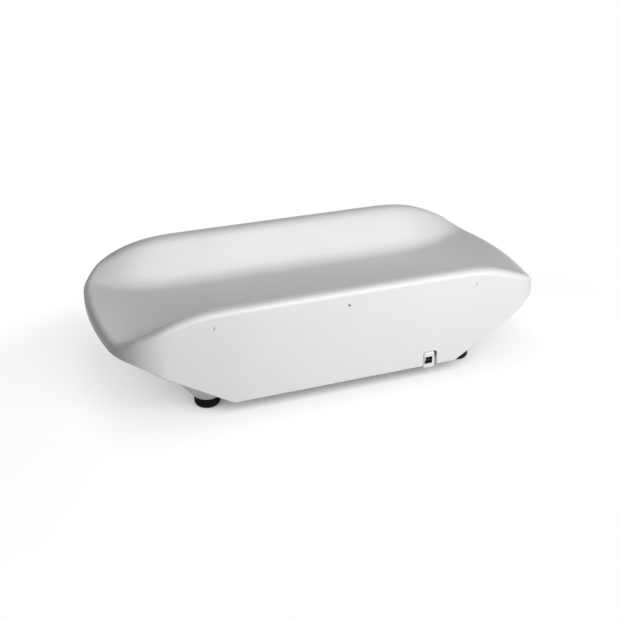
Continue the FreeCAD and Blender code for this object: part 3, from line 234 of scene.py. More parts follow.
class Finish(Tree):
    """The procedural finish of one material."""

    def __init__(self, name):
        self.material = bpy.data.materials.new(name)
        self.material.use_nodes = True
        super().__init__(self.material.node_tree.nodes, self.material.node_tree.links)
        self.nodes.clear()
        self.shader = self.add("ShaderNodeBsdfPrincipled")
        self.output = self.add("ShaderNodeOutputMaterial", None,
                               {"Surface": self.shader.outputs[0]})
        self.place = self.add("ShaderNodeTexCoord").outputs["Object"]

    def axes(self):
        """The three Object coordinates as numbers, in metres."""
        node = self.add("ShaderNodeSeparateXYZ", None, {0: self.place})
        return [Signal(self, out) for out in node.outputs]

    def noise(self, scale, detail=2.0, rough=0.5, place=None):
        """Even noise from 0 to 1 with features of about 1 / scale metres."""
        return self.number("ShaderNodeTexNoise", None,
                           {"Vector": place or self.place, "Scale": scale, "Detail": detail,
                            "Roughness": rough})

    def stretched(self, scale):
        """Object coordinates multiplied along each axis."""
        return self.add("ShaderNodeMapping", None,
                        {"Vector": self.place, "Scale": scale}).outputs[0]

    def mix(self, factor, first, second):
        """A colour between two colours."""
        node = self.add("ShaderNodeMix", {"data_type": "RGBA"},
                        {0: factor, 6: shade(first), 7: shade(second)})
        return node.outputs[2]

    def rubbed(self, low=0.52, high=0.60):
        """1 along worn outer edges, broken up by noise."""
        edge = self.number("ShaderNodeNewGeometry", output="Pointiness").ease(low, high)
        return edge * self.noise(90.0, 3.0).ease(0.4, 0.65)

    def bump(self, height, depth):
        """Raise the surface by a height pattern, with its depth in metres."""
        node = self.add("ShaderNodeBump", None,
                        {"Height": height, "Distance": depth, "Strength": 1.0})
        self.set(Normal=node.outputs[0])

    def set(self, **values):
        """Set or link the shader's sockets, with underscores for spaces."""
        for name, value in values.items():
            self.feed(self.shader.inputs[name.replace("_", " ")], value)


def shade(value):
    """A colour with its alpha, or a link as it is."""
    if isinstance(value, (Signal, bpy.types.NodeSocket)):
        return value
    return (*tuple(value)[:3], 1.0)


def scaled(value, factor):
    """A colour made darker or lighter."""
    return tuple(min(channel * factor, 1.0) for channel in value)


def white_plastic(colours):
    """Glossy white moulding with a faint mottle, fine grain and scuffed edges."""
    f = Finish("white_plastic")
    cloud = f.noise(9.0, 3.0)
    worn = f.rubbed() * colours.wear
    base = f.mix(cloud.ease(0.3, 0.7), scaled(colours.white, 0.985), scaled(colours.white, 1.01))
    f.set(Base_Color=f.mix(worn * 0.35, base, scaled(colours.white, 0.93)),
          Roughness=0.33 + 0.06 * f.noise(30.0, 3.0) + 0.12 * worn,
          IOR=1.5)
    grain = f.noise(1800.0, 2.0) + 0.8 * f.noise(420.0, 2.0)
    f.bump(grain, 0.000012)
    return f.material


def moulding(name, tone, wear, mottle, rubbed, rough, grain):
    """Plain moulded plastic: mottle, rubbed edges, uneven gloss and a fine grain."""
    f = Finish(name)
    scale, detail, dark, light = mottle
    base = f.mix(f.noise(scale, detail), scaled(tone, dark), scaled(tone, light))
    share_rubbed, rubbed_tone = rubbed
    level, spread, rough_scale = rough
    f.set(Base_Color=f.mix(f.rubbed() * wear * share_rubbed, base, rubbed_tone),
          Roughness=level + spread * f.noise(rough_scale, 2.0))
    f.bump(f.noise(grain[0], 2.0), grain[1])
    return f.material


def grey_plastic(colours):
    """Satin grey moulding with a spark-eroded grain."""
    return moulding("grey_plastic", colours.grey, colours.wear, (60.0, 4.0, 0.94, 1.05),
                    (0.4, scaled(colours.grey, 1.3)), (0.46, 0.10, 500.0), (2600.0, 0.00003))


def key_plastic(colours):
    """Soft grey-blue buttons with a matt skin, polished in places where fingers press."""
    return moulding("key_plastic", colours.keys, colours.wear, (160.0, 3.0, 0.95, 1.04),
                    (0.4, scaled(colours.keys, 1.35)), (0.52, -0.12, 220.0), (3200.0, 0.00002))


def black_plastic(colours):
    """Satin black moulding."""
    return moulding("black_plastic", colours.black, colours.wear, (90.0, 3.0, 0.8, 1.4),
                    (0.5, (0.07, 0.07, 0.075)), (0.38, 0.14, 400.0), (2400.0, 0.00002))


def black_rubber(colours):
    """Matt rubber with a floury grain and dust."""
    f = Finish("black_rubber")
    dust = f.noise(240.0, 5.0, 0.65).ease(0.52, 0.78) * 0.07
    f.set(Base_Color=f.mix(dust, colours.rubber, (0.11, 0.105, 0.10)),
          Roughness=0.70 + 0.2 * f.noise(800.0, 2.0), Specular_IOR_Level=0.15)
    f.bump(f.noise(1500.0, 3.0), 0.00006)
    return f.material


def metal(name, tone, rough, drawn, spots=0.0):
    """Bare metal with a drawn grain along an axis and a few dull spots."""
    f = Finish(name)
    grain = f.noise(1.0, 3.0, 0.6, f.stretched(drawn))
    dull = f.noise(120.0, 4.0).ease(0.56, 0.72) * spots
    f.set(Base_Color=f.mix(dull, f.mix(grain, scaled(tone, 0.88), scaled(tone, 1.06)),
                           scaled(tone, 0.6)),
          Metallic=1.0 - 0.3 * dull, Roughness=rough + 0.14 * grain + 0.2 * dull)
    f.bump(grain, 0.00002)
    return f.material


def display_glass(colours):
    """Smoked clear window."""
    f = Finish("lens")
    f.set(Base_Color=f.mix(f.noise(40.0, 2.0), (0.06, 0.07, 0.07), (0.09, 0.10, 0.10)),
          Roughness=0.04 + 0.03 * f.noise(300.0, 2.0), Alpha=0.16 + 0.04 * f.noise(60.0, 2.0),
          IOR=1.49)
    return f.material


def display_panel(colours):
    """Grey-green liquid crystal panel."""
    f = Finish("display")
    f.set(Base_Color=f.mix(f.noise(30.0, 2.0), (0.40, 0.45, 0.37), (0.44, 0.49, 0.41)),
          Roughness=0.30 + 0.05 * f.noise(900.0, 2.0))
    f.bump(f.noise(4000.0, 1.0), 0.000005)
    return f.material


def circuit_board(colours):
    """Green solder mask over copper tracks."""
    f = Finish("board")
    x, y, z = f.axes()
    lanes = ((x * 2400.0).wave() * ((y + z) * 1700.0).wave()).over(0.35)
    tracks = lanes * f.noise(160.0, 1.0).over(0.48)
    f.set(Base_Color=f.mix(tracks, (0.010, 0.115, 0.045), (0.035, 0.22, 0.085)),
          Roughness=0.32 + 0.1 * f.noise(600.0, 2.0))
    f.bump(tracks, 0.00003)
    return f.material


def cell_jacket(colours):
    """Dark glossy film jacket of a battery."""
    f = Finish("cell_jacket")
    seam = f.noise(500.0, 2.0)
    f.set(Base_Color=f.mix(f.noise(60.0, 3.0), (0.05, 0.07, 0.12), (0.07, 0.09, 0.15)),
          Roughness=0.25 + 0.1 * seam, Coat_Weight=0.3)
    f.bump(seam, 0.00001)
    return f.material


FINISHES = {
    "white_plastic": white_plastic,
    "grey_plastic": grey_plastic,
    "key_plastic": key_plastic,
    "black_rubber": black_rubber,
    "black_plastic": black_plastic,
    "lens": display_glass,
    "display": display_panel,
    "board": circuit_board,
    "cell_jacket": cell_jacket,
    "alloy": lambda colours: metal("alloy", (0.62, 0.63, 0.65), 0.30, (900, 60, 60), 0.2),
    "zinc_steel": lambda colours: metal("zinc_steel", (0.60, 0.61, 0.63), 0.34,
                                        (500, 500, 500), 0.4),
    "nickel": lambda colours: metal("nickel", (0.66, 0.64, 0.60), 0.24, (700, 700, 700), 0.2),
}


def finish(slot):
    """The material of a slot, made when it is first asked for."""
    name = "fine_" + slot
    material = bpy.data.materials.get(name)
    if not material:
        material = FINISHES[slot](bpy.context.scene.scale_colours)
        material.name = name
    return material


# ---- meshes ----


def mesh_from(points, faces, name="form"):
    """A mesh from points and faces."""
    mesh = bpy.data.meshes.new(name)
    mesh.from_pydata([tuple(p) for p in points], [], [tuple(f) for f in faces])
    mesh.update()
    return mesh


def tidy_mesh(mesh, merge=0.0):
    """Merge doubles and turn every face outwards."""
    bm = bmesh.new()
    bm.from_mesh(mesh)
    if merge:
        bmesh.ops.remove_doubles(bm, verts=bm.verts, dist=merge)
    bmesh.ops.recalc_face_normals(bm, faces=bm.faces)
    if bm.calc_volume(signed=True) < 0:
        bmesh.ops.reverse_faces(bm, faces=bm.faces)
    bm.to_mesh(mesh)
    bm.free()
    return mesh


def as_object(name, mesh):
    """Link a mesh to the scene as an object at the origin."""
    thing = bpy.data.objects.new(name, mesh)
    bpy.context.scene.collection.objects.link(thing)
    return thing


def evaluated_mesh(thing):
    """The object's mesh with its modifiers applied."""
    graph = bpy.context.evaluated_depsgraph_get()
    return bpy.data.meshes.new_from_object(thing.evaluated_get(graph))


def apply_modifiers(thing):
    """Replace the object's mesh by its finished form and take its modifiers off."""
    mesh = evaluated_mesh(thing)
    thing.modifiers.clear()
    thing.data = mesh
    return thing


def carve(thing, tools, operation="DIFFERENCE"):
    """Cut tools out of a piece, or join them to it, one after another."""
    for tool in tools:
        cutter = as_object("tool", tool)
        step = thing.modifiers.new("cut", "BOOLEAN")
        step.object = cutter
        step.operation = operation
        step.solver = "EXACT"
        apply_modifiers(thing)
        bpy.data.objects.remove(cutter)
    return thing


def soften(mesh, angle=30.0):
    """Smooth shading, with edges sharper than the angle kept crisp."""
    mesh.shade_smooth()
    mesh.set_sharp_from_angle(angle=math.radians(angle))
    return mesh


def seat(thing, body, slot, stands_for=(), angle=30.0):
    """Finish a piece: shading, material, the body it rides on, if one, and what it replaces."""
    soften(thing.data, angle)
    thing.data.materials.clear()
    thing.data.materials.append(finish(slot))
    if body:
        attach(thing, body)
    if stands_for:
        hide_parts(*stands_for)
    return thing


def welded(node):
    """A CAD node's mesh in bmesh form, with its doubled points merged."""
    bm = bmesh.new()
    bm.from_mesh(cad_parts[node].data)
    bmesh.ops.remove_doubles(bm, verts=bm.verts, dist=WELD)
    return bm


def smooth_copy(name, node, body, slot, angle=28.0):
    """A merged, smooth-shaded copy of a CAD node that stands for it."""
    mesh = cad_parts[node].data.copy()
    bm = welded(node)
    bm.to_mesh(mesh)
    bm.free()
    for layer in list(mesh.attributes):
        if layer.name == "custom_normal":
            mesh.attributes.remove(layer)
    return seat(as_object(name, mesh), body, slot, (node,), angle)


def grid_faces(rows, count):
    """The faces between neighbouring closed rows of points."""
    return [(row * count + n, row * count + (n + 1) % count,
             (row + 1) * count + (n + 1) % count, (row + 1) * count + n)
            for row in range(rows - 1) for n in range(count)]


def loft(rings):
    """A solid through rings of equal point counts, its two ends closed flat."""
    count = len(rings[0])
    points = [p for ring in rings for p in ring]
    faces = grid_faces(len(rings), count)
    faces.append(tuple(reversed(range(count))))
    faces.append(tuple(range(len(points) - count, len(points))))
    return tidy_mesh(mesh_from(points, faces))


def rounded_outline(low_u, high_u, low_v, high_v, corner, extra=0.0, steps=8):
    """Points of a rectangle with round corners, grown by an extra on every side."""
    low_u, high_u = low_u - extra, high_u + extra
    low_v, high_v = low_v - extra, high_v + extra
    corner = max(corner + extra, 1e-5)
    centres = [(high_u - corner, high_v - corner, 0), (low_u + corner, high_v - corner, 90),
               (low_u + corner, low_v + corner, 180), (high_u - corner, low_v + corner, 270)]
    points = []
    for u, v, start in centres:
        for step in range(steps + 1):
            turn = math.radians(start + 90 * step / steps)
            points.append((u + corner * math.cos(turn), v + corner * math.sin(turn)))
    return points


def round_rings(profile, centre, axis, steps):
    """Rings of points for a profile of (radius, height) pairs turned about an axis line."""
    rings = []
    for radius, height in profile:
        ring = []
        for step in range(steps):
            turn = 2 * math.pi * step / steps
            a, b = radius * math.cos(turn), radius * math.sin(turn)
            offset = {"z": (a, b, height), "y": (a, height, b), "x": (height, a, b)}[axis]
            ring.append(tuple(c + o for c, o in zip(centre, offset)))
        rings.append(ring)
    return rings


def turned(profile, centre, axis="z", steps=48):
    """A solid turned from a profile of (radius, height) pairs about an axis line."""
    return loft(round_rings(profile, centre, axis, steps))


class Growth(Tree):
    """A geometry node tree with named sizes that puts one form on every given place."""

    def __init__(self, name, sizes):
        self.group = bpy.data.node_groups.new(name, "GeometryNodeTree")
        super().__init__(self.group.nodes, self.group.links)
        self.sizes = {}
        face = self.group.interface
        face.new_socket(name="Places", in_out="INPUT", socket_type="NodeSocketGeometry")
        for label, value in sizes.items():
            kind = "NodeSocketFloat" if isinstance(value, float) else "NodeSocketMaterial"
            socket = face.new_socket(name=label, in_out="INPUT", socket_type=kind)
            self.sizes[socket.identifier] = value
        face.new_socket(name="Geometry", in_out="OUTPUT", socket_type="NodeSocketGeometry")
        self.source = self.add("NodeGroupInput")

    def given(self, label):
        """A named size of the tree, ready for sums."""
        return Signal(self, self.source.outputs[label])

    def cylinder(self, radius, depth, sides=32, rings=1):
        return self.add("GeometryNodeMeshCylinder", None,
                        {"Vertices": sides, "Side Segments": rings, "Radius": radius,
                         "Depth": depth}).outputs["Mesh"]

    def brick(self, x, y, z, turn=0.0, lift=0.0):
        """A block turned about Z and lifted."""
        size = self.add("ShaderNodeCombineXYZ", None, {0: x, 1: y, 2: z})
        cube = self.add("GeometryNodeMeshCube", None, {"Size": size.outputs[0]})
        return self.moved(cube.outputs["Mesh"], lift, (0.0, 0.0, turn))

    def moved(self, form, lift, turn=(0.0, 0.0, 0.0)):
        """A form lifted along Z and turned."""
        offset = self.add("ShaderNodeCombineXYZ", None, {2: lift})
        return self.add("GeometryNodeTransform", None,
                        {"Geometry": form, "Translation": offset.outputs[0],
                         "Rotation": turn}).outputs[0]

    def joined(self, *forms):
        node = self.add("GeometryNodeJoinGeometry")
        for form in forms:
            self.links.new(form, node.inputs[0])
        return node.outputs[0]

    def less(self, form, *tools):
        """A form with tools cut out of it."""
        node = self.add("GeometryNodeMeshBoolean", {"operation": "DIFFERENCE", "solver": "EXACT"},
                        {"Mesh 1": form})
        for tool in tools:
            self.links.new(tool, node.inputs["Mesh 2"])
        return node.outputs[0]

    def coil(self, radius, height, turns, wire, sides=8):
        """A round wire wound about Z from the origin upwards."""
        path = self.add("GeometryNodeCurveSpiral", None,
                        {"Resolution": 20, "Rotations": turns, "Start Radius": radius,
                         "End Radius": radius, "Height": height})
        ring = self.add("GeometryNodeCurvePrimitiveCircle", None,
                        {"Resolution": sides, "Radius": wire})
        return self.add("GeometryNodeCurveToMesh", None,
                        {"Curve": path.outputs[0], "Profile Curve": ring.outputs[0],
                         "Fill Caps": True}).outputs[0]

    def grow(self, name, form, places, turn):
        """The form on every place, turned, as an object with a plain mesh."""
        turned = self.add("FunctionNodeEulerToRotation", None, {0: turn})
        spread = self.add("GeometryNodeInstanceOnPoints", None,
                          {"Points": self.source.outputs["Places"], "Instance": form,
                           "Rotation": turned.outputs[0]})
        real = self.add("GeometryNodeRealizeInstances", None, {0: spread.outputs[0]})
        coated = self.add("GeometryNodeSetMaterial", None,
                          {"Geometry": real.outputs[0], "Material": self.source.outputs["Finish"]})
        self.add("NodeGroupOutput", None, {0: coated.outputs[0]})
        thing = as_object(name, mesh_from(places, []))
        step = thing.modifiers.new("growth", "NODES")
        step.node_group = self.group
        for identifier, value in self.sizes.items():
            step[identifier] = value
        return apply_modifiers(thing)


SCREW_SHANK, BOLT_SHANK = 3 * MM, 5 * MM
# The slanted face of the console: its lower front edge and its lean.
FACE_FOOT = Vector((0.0, -139.5 * MM, 18 * MM))
FACE_ANGLE = math.atan2(8, 58)
FACE = Matrix.Translation(FACE_FOOT) @ Matrix.Rotation(-FACE_ANGLE, 4, "X")


def solids(node, plane=None):
    """The boxes of a CAD node's separate solids, in the scale's own axes or in a plane's."""
    bm = welded(node)
    if plane is not None:
        bmesh.ops.transform(bm, matrix=plane.inverted(), verts=bm.verts)
    boxes, left = [], set(bm.verts)
    while left:
        front, found = [left.pop()], []
        while front:
            vert = front.pop()
            found.append(vert.co.copy())
            for edge in vert.link_edges:
                other = edge.other_vert(vert)
                if other in left:
                    left.remove(other)
                    front.append(other)
        low = Vector(min(co[axis] for co in found) for axis in range(3))
        high = Vector(max(co[axis] for co in found) for axis in range(3))
        boxes.append((low, high))
    bm.free()
    return sorted(boxes, key=lambda pair: tuple(round(c, 4) for c in pair[0]))


def screws(name, node, body, head_height, head_up=True, plane=None):
    """Pan-head screws with a cross recess and a rolled thread in place of plain CAD screws."""
    boxes = solids(node, plane)
    axis = 1 if plane is not None else 2
    low, high = boxes[0]
    head = high.x - low.x
    length = (high - low)[axis] - head_height
    slim = head < 8 * MM or node == "overload_stops"
    shank = SCREW_SHANK if slim else BOLT_SHANK
    g = Growth("screw_form", {"Head": head, "Height": head_height, "Shank": shank,
                              "Length": length, "Pitch": shank * 0.2,
                              "Finish": finish("zinc_steel")})
    head, height, shank, length, pitch = (g.given(label) for label in
                                          ("Head", "Height", "Shank", "Length", "Pitch"))
    blank = g.moved(g.cylinder(head / 2, height, 32, 6), height / 2)
    place = g.add("GeometryNodeInputPosition")
    x, y, z = (Signal(g, out) for out in
               g.add("ShaderNodeSeparateXYZ", None, {0: place.outputs[0]}).outputs)
    up = z / height
    narrow = 1.0 - 0.28 * up * up * up
    drawn_in = g.add("ShaderNodeCombineXYZ", None, {0: x * narrow, 1: y * narrow, 2: z})
    domed = g.add("GeometryNodeSetPosition", None,
                  {"Geometry": blank, "Position": drawn_in.outputs[0]}).outputs[0]
    blades = [g.brick(head * 0.52, head * 0.10, height, math.radians(turn), height * 0.95)
              for turn in (0, 90)]
    cap = g.less(domed, *blades)
    stem = g.moved(g.cylinder(shank * 0.43, length, 20, 1), length * -0.5)
    turns = length / pitch - 1.0
    thread = g.moved(g.coil(shank * 0.435, length - pitch, turns, shank * 0.075, 3), -1.0 * length)
    whole = g.joined(cap, stem, thread)
    places = []
    for low, high in boxes:
        middle = (low + high) / 2
        middle[axis] = high[axis] - head_height if head_up else low[axis] + head_height
        places.append(plane @ middle if plane is not None else middle)
    lean = FACE_ANGLE if plane is not None else 0.0
    turn = -math.pi / 2 - lean if plane is not None else (0.0 if head_up else math.pi)
    thing = g.grow(name, whole, places, (turn, 0.0, 0.0))
    return seat(thing, body, "zinc_steel", (node,), 40.0)


def on_face(outline, front, back):
    """A plate parallel to the console's face, from an outline along and up the face."""
    rings = [[tuple(FACE @ Vector((u, depth, v))) for u, v in outline] for depth in (front, back)]
    return loft(rings)


def merged(meshes):
    """Several meshes as one."""
    bm = bmesh.new()
    for mesh in meshes:
        bm.from_mesh(mesh)
    whole = bpy.data.meshes.new("merged")
    bm.to_mesh(whole)
    bm.free()
    return whole


# ---- the cradle tray ----

# How the cross-section climbs from the middle (0, 0) to the ridge (1, 1).
HALF_SECTION = ((0, 0), (0.30, 0), (0.46, 0), (0.55, 0), (0.63, 0), (0.697, 0.04), (0.757, 0.195),
                (0.815, 0.43), (0.868, 0.65), (0.915, 0.85), (0.953, 0.975), (1.0, 1))
ROW_COUNT = 12
ROW_START = 110 * MM
ROW_STEP = 20 * MM
FLAT_HALF = 153.5 * MM
CREST_Y = 126 * MM
MIDDLE_LOW = 82 * MM
END_TOP = 108.5 * MM
RIDGE_TOP = 142.5 * MM
TIP_LOW = 89 * MM
END_SLOPE = 0.594
END_BULGE = 18.5 * MM
FALL_LENGTH = 178 * MM
FALL_REST = 6 * MM
FALL_POWER = 1.8
FLOOR_POWER = 3
CHAMFER = 0.9 * MM
# Rows of points and how they crowd: over the rim, on the lying surface and on the ceiling.
RIM_ROWS = 13
LYING_ROWS, LYING_CROWD = 44, 1.3
CEILING_ROWS, CEILING_CROWD = 16, 1.2
# Half length of the middle line where rows meet, and the reach of rows that is mapped on to it.
MEETING_HALF, LYING_REACH, CEILING_REACH = 0.2, 0.236, 0.22
HOLLOW_INSET, HOLLOW_CORNER = 46 * MM, 34 * MM
# The skin is never counted as steeper than this when its thickness is laid off downwards.
STEEPEST = 2.2
PROBE = 0.5 * MM
# First guesses, limit and damping for the search of the rim that touches wall and lying surface.
RIM_TOP_GUESS, REACH_GUESS, REACH_LIMIT, DAMPING = 0.11, 0.008, 0.03, 0.6
# A height that starts the search for where a leaning wall meets the tray's lower edge.
EDGE_GUESS = 0.05
ROD_X, ROD_Z = 177.5 * MM, 123 * MM
SOCKET_SPAN = (-126.15 * MM, -106.65 * MM)
SOCKET_NOTCH_TOP = 36.5 * MM


def cubic_weights(count, places):
    """Weights of the poles of a clamped even cubic curve at places from 0 to 1."""
    spans = count - 3
    knots = np.concatenate([np.zeros(3), np.linspace(0, 1, spans + 1), np.ones(3)])
    places = np.clip(places, 0, 1 - 1e-12)[:, None]
    weights = ((places >= knots[:-1]) & (places < knots[1:])).astype(float)
    for degree in (1, 2, 3):
        width_a = knots[degree:-1] - knots[: -degree - 1]
        width_b = knots[degree + 1:] - knots[1:-degree]
        part_a = np.divide(places - knots[: -degree - 1], width_a,
                           out=np.zeros((len(places), len(width_a))), where=width_a > 0)
        part_b = np.divide(knots[degree + 1:] - places, width_b,
                           out=np.zeros((len(places), len(width_b))), where=width_b > 0)
        weights = part_a * weights[:, : len(width_a)] + part_b * weights[:, 1: len(width_a) + 1]
    return weights


class Cradle:
    """The smooth lying surface: a height over every place of the tray's plan."""

    def __init__(self, sizes):
        rows = ROW_START + ROW_STEP * np.arange(ROW_COUNT)
        end_run = sizes.half_x - ROW_START - ROW_STEP
        along = np.clip((rows - ROW_START - ROW_STEP) / end_run, 0, 1)
        reach = sizes.half_x - ROW_START
        fall = np.clip(1 - (reach * (1 - along) - FALL_REST) / FALL_LENGTH, 0, 1)
        floor = MIDDLE_LOW + (END_TOP - MIDDLE_LOW) * along ** FLOOR_POWER
        turn = math.pi * fall ** FALL_POWER
        ridge = END_TOP + (RIDGE_TOP - END_TOP) * (1 + np.cos(turn)) / 2
        ridge = np.maximum(ridge, floor)
        outer = sizes.half_y + 2 * sizes.rim
        side = [CREST_Y * y for y, climb in HALF_SECTION] + [(CREST_Y + outer) / 2, outer]
        climbs = [climb for y, climb in HALF_SECTION] + [1, 1]
        self.pole_y = np.array([-y for y in side[:0:-1]] + side)
        climbs = np.array(climbs[:0:-1] + climbs)
        half = floor[:, None] + (ridge - floor)[:, None] * climbs[None, :]
        self.pole_x = np.concatenate([-rows[::-1], rows])
        self.pole_z = np.concatenate([half[::-1], half])
        table = np.linspace(0, 1, 6001)
        self.table = table
        self.table_x = cubic_weights(len(self.pole_x), table) @ self.pole_x
        self.table_y = cubic_weights(len(self.pole_y), table) @ self.pole_y

    def height(self, x, y):
        """Height of the lying surface at plan places."""
        x = np.where(np.abs(x) < ROW_START, ROW_START, x)
        u = np.interp(x, self.table_x, self.table)
        v = np.interp(y, self.table_y, self.table)
        across = cubic_weights(len(self.pole_x), u)
        down = cubic_weights(len(self.pole_y), v)
        return np.einsum("ni,ij,nj->n", across, self.pole_z, down)

    def slope(self, places, inward):
        """Height and its slope along an inward direction at plan places."""
        step = 0.1 * MM
        ahead, behind = places + inward * step, places - inward * step
        high = self.height(ahead[:, 0], ahead[:, 1])
        low = self.height(behind[:, 0], behind[:, 1])
        return self.height(places[:, 0], places[:, 1]), (high - low) / (2 * step)


def side_places(reach):
    """Stations along a straight side, with one on each end of the level lower edge."""
    reach = np.broadcast_to(reach, ())
    flank = np.linspace(FLAT_HALF, reach, 27)[1:]
    middle = np.linspace(-FLAT_HALF, FLAT_HALF, 91)
    return np.concatenate([-flank[::-1], middle, flank])


def plan_outline(block_x, block_y, corner, depth):
    """Plan points and outward directions of an outline, moved inwards by a depth for each."""
    depth = np.asarray(depth, float)
    bow = (block_y ** 2 + END_BULGE ** 2) / (2 * END_BULGE)
    sides = len(side_places(block_x - corner))
    amounts = {"end": 44, "turn": 30, "side": sides}
    blocks = [("end", 1, 1), ("turn", 1, 1), ("side", 1, 1), ("turn", -1, 1),
              ("end", -1, -1), ("turn", -1, -1), ("side", -1, -1), ("turn", 1, -1)]
    count = sum(amounts[kind] for kind, _, _ in blocks)
    depth = np.broadcast_to(depth, (count,))
    points, normals = np.zeros((count, 2)), np.zeros((count, 2))
    centre = block_x - bow
    n = 0
    for kind, sx, sy in blocks:
        for step in range(amounts[kind]):
            d = depth[n]
            arc_y = block_y - d - corner
            arc_x = centre + math.sqrt((bow - d - corner) ** 2 - arc_y ** 2)
            lean = math.atan2(arc_y, arc_x - centre)
            part = step / amounts[kind]
            if kind == "side":
                p, q = (side_places(arc_x)[::-1][step], block_y - d), (0.0, 1.0)
            else:
                if kind == "end":
                    turn = -lean + 2 * lean * part
                    middle, radius = (centre, 0.0), bow - d
                else:
                    turn = lean + (math.pi / 2 - lean) * (part if sx == sy else 1 - part)
                    middle, radius = (arc_x, arc_y), corner
                q = (math.cos(turn), math.sin(turn))
                p = (middle[0] + radius * q[0], middle[1] + radius * q[1])
            points[n] = (p[0] * sx, p[1] * sy)
            normals[n] = (q[0] * sx, q[1] * sy)
            n += 1
    return points, normals


def underside(x, sizes):
    """Height of the tray's lower edge: level, slanted, then easing out to the tips."""
    x = np.abs(x)
    steep = math.sqrt(END_SLOPE ** 2 + 1)
    half_turn = (steep - 1) / END_SLOPE
    rise = TIP_LOW - sizes.low_z + END_SLOPE * FLAT_HALF - half_turn * sizes.half_x
    bend_x = rise / (END_SLOPE - half_turn)
    bend_z = sizes.low_z + END_SLOPE * (bend_x - FLAT_HALF)
    chord = math.hypot(sizes.half_x - bend_x, TIP_LOW - bend_z)
    radius = chord / 2 / math.sin(math.atan(END_SLOPE) / 2)
    slanted = sizes.low_z + END_SLOPE * (x - FLAT_HALF)
    run = np.clip(sizes.half_x - x, 0, radius)
    eased = TIP_LOW - radius + np.sqrt(radius ** 2 - run ** 2)
    return np.where(x < FLAT_HALF, sizes.low_z, np.where(x < bend_x, slanted, eased))


def wall_outline(sizes, heights):
    """The outer wall's plan points at a height for each station."""
    lean = math.tan(sizes.draft)
    tip_run = (TIP_LOW - sizes.low_z) * lean
    return plan_outline(sizes.half_x + tip_run, sizes.half_y, sizes.corner,
                        (heights - sizes.low_z) * lean)


def hollow_outline(sizes, heights):
    """The hollow's plan points at a height for each station."""
    lean = math.tan(sizes.draft)
    return plan_outline(sizes.half_x - HOLLOW_INSET, sizes.half_y - sizes.wall, HOLLOW_CORNER,
                        (heights - sizes.low_z) * lean)


def rim_rows(sizes, cradle):
    """Rows of points from the outer wall over the rolled rim on to the lying surface."""
    lean = math.tan(sizes.draft)
    steep = math.hypot(1, lean)
    radius = sizes.rim
    count = len(plan_outline(sizes.half_x, sizes.half_y, sizes.corner, 0.0)[0])
    top = np.full(count, RIM_TOP_GUESS)
    for _ in range(6):
        wall, outward = wall_outline(sizes, top)
        reach = np.full(count, REACH_GUESS)
        for _ in range(25):
            high, rise = cradle.slope(wall - outward * reach[:, None], -outward)
            miss = reach + radius * rise / np.hypot(1, rise) - radius / steep
            reach = np.clip(reach - DAMPING * miss, 0, REACH_LIMIT)
        middle_z = high - radius / np.hypot(1, rise)
        top = middle_z + radius * lean / steep
    middle = wall - outward * (radius / steep)
    start = np.full(count, math.pi - math.atan(lean))
    stop = np.arctan2(1, -rise)
    rows = []
    for part in np.linspace(0, 1, RIM_ROWS):
        turn = start + (stop - start) * part
        plan = middle - outward * (radius * np.cos(turn))[:, None]
        rows.append(np.column_stack([plan, middle_z + radius * np.sin(turn)]))
    return rows, outward


def meeting_line(x, reach):
    """Places on the tray's middle line for the ends of rows, in order of their x."""
    return np.column_stack([MEETING_HALF * np.clip(x / reach, -1, 1), np.zeros(len(x))])


def lying_rows(rows, cradle, count, power):
    """Rows that run inwards over the lying surface and meet on the tray's middle line."""
    edge = rows[-1][:, :2]
    middle = meeting_line(edge[:, 0], LYING_REACH)
    result = []
    for part in np.linspace(0, 1, count + 1)[1:] ** power:
        plan = edge * (1 - part) + middle * part
        result.append(np.column_stack([plan, cradle.height(plan[:, 0], plan[:, 1])]))
    return result


def tray_rows(sizes):
    """All the rows of the tray, from the top middle line round to the one underneath."""
    cradle = Cradle(sizes)
    rim, outward = rim_rows(sizes, cradle)
    top = lying_rows(rim, cradle, LYING_ROWS, LYING_CROWD)[::-1]
    wall_top = rim[0][:, 2]
    low = underside(wall_outline(sizes, np.full(len(wall_top), EDGE_GUESS))[0][:, 0], sizes)
    for _ in range(4):
        plan, _ = wall_outline(sizes, low + sizes.edge)
        low = underside(plan[:, 0], sizes)
    outer = []
    for part in (0.02, 0.25, 0.5, 0.75, 0.985):
        height = wall_top + (low + sizes.edge - wall_top) * part
        outer.append(np.column_stack([wall_outline(sizes, height)[0], height]))
    edge = []
    for inward, up in ((0, 1), (0.13, 0.5), (0.5, 0.13), (1, 0)):
        place = plan - outward * (sizes.edge * inward)
        height = underside(place[:, 0], sizes) + sizes.edge * up
        edge.append(np.column_stack([place, height]))
    hollow = underside(hollow_outline(sizes, np.full(len(low), EDGE_GUESS))[0][:, 0], sizes)
    for _ in range(4):
        inner, _ = hollow_outline(sizes, hollow)
        hollow = underside(inner[:, 0], sizes)
    band = []
    for part in np.linspace(0, 1, 13)[1:]:
        place = edge[-1][:, :2] * (1 - part) + inner * part
        band.append(np.column_stack([place, underside(place[:, 0], sizes)]))
    return top, rim[::-1], outer, edge, band, inner_rows(sizes, cradle, hollow)


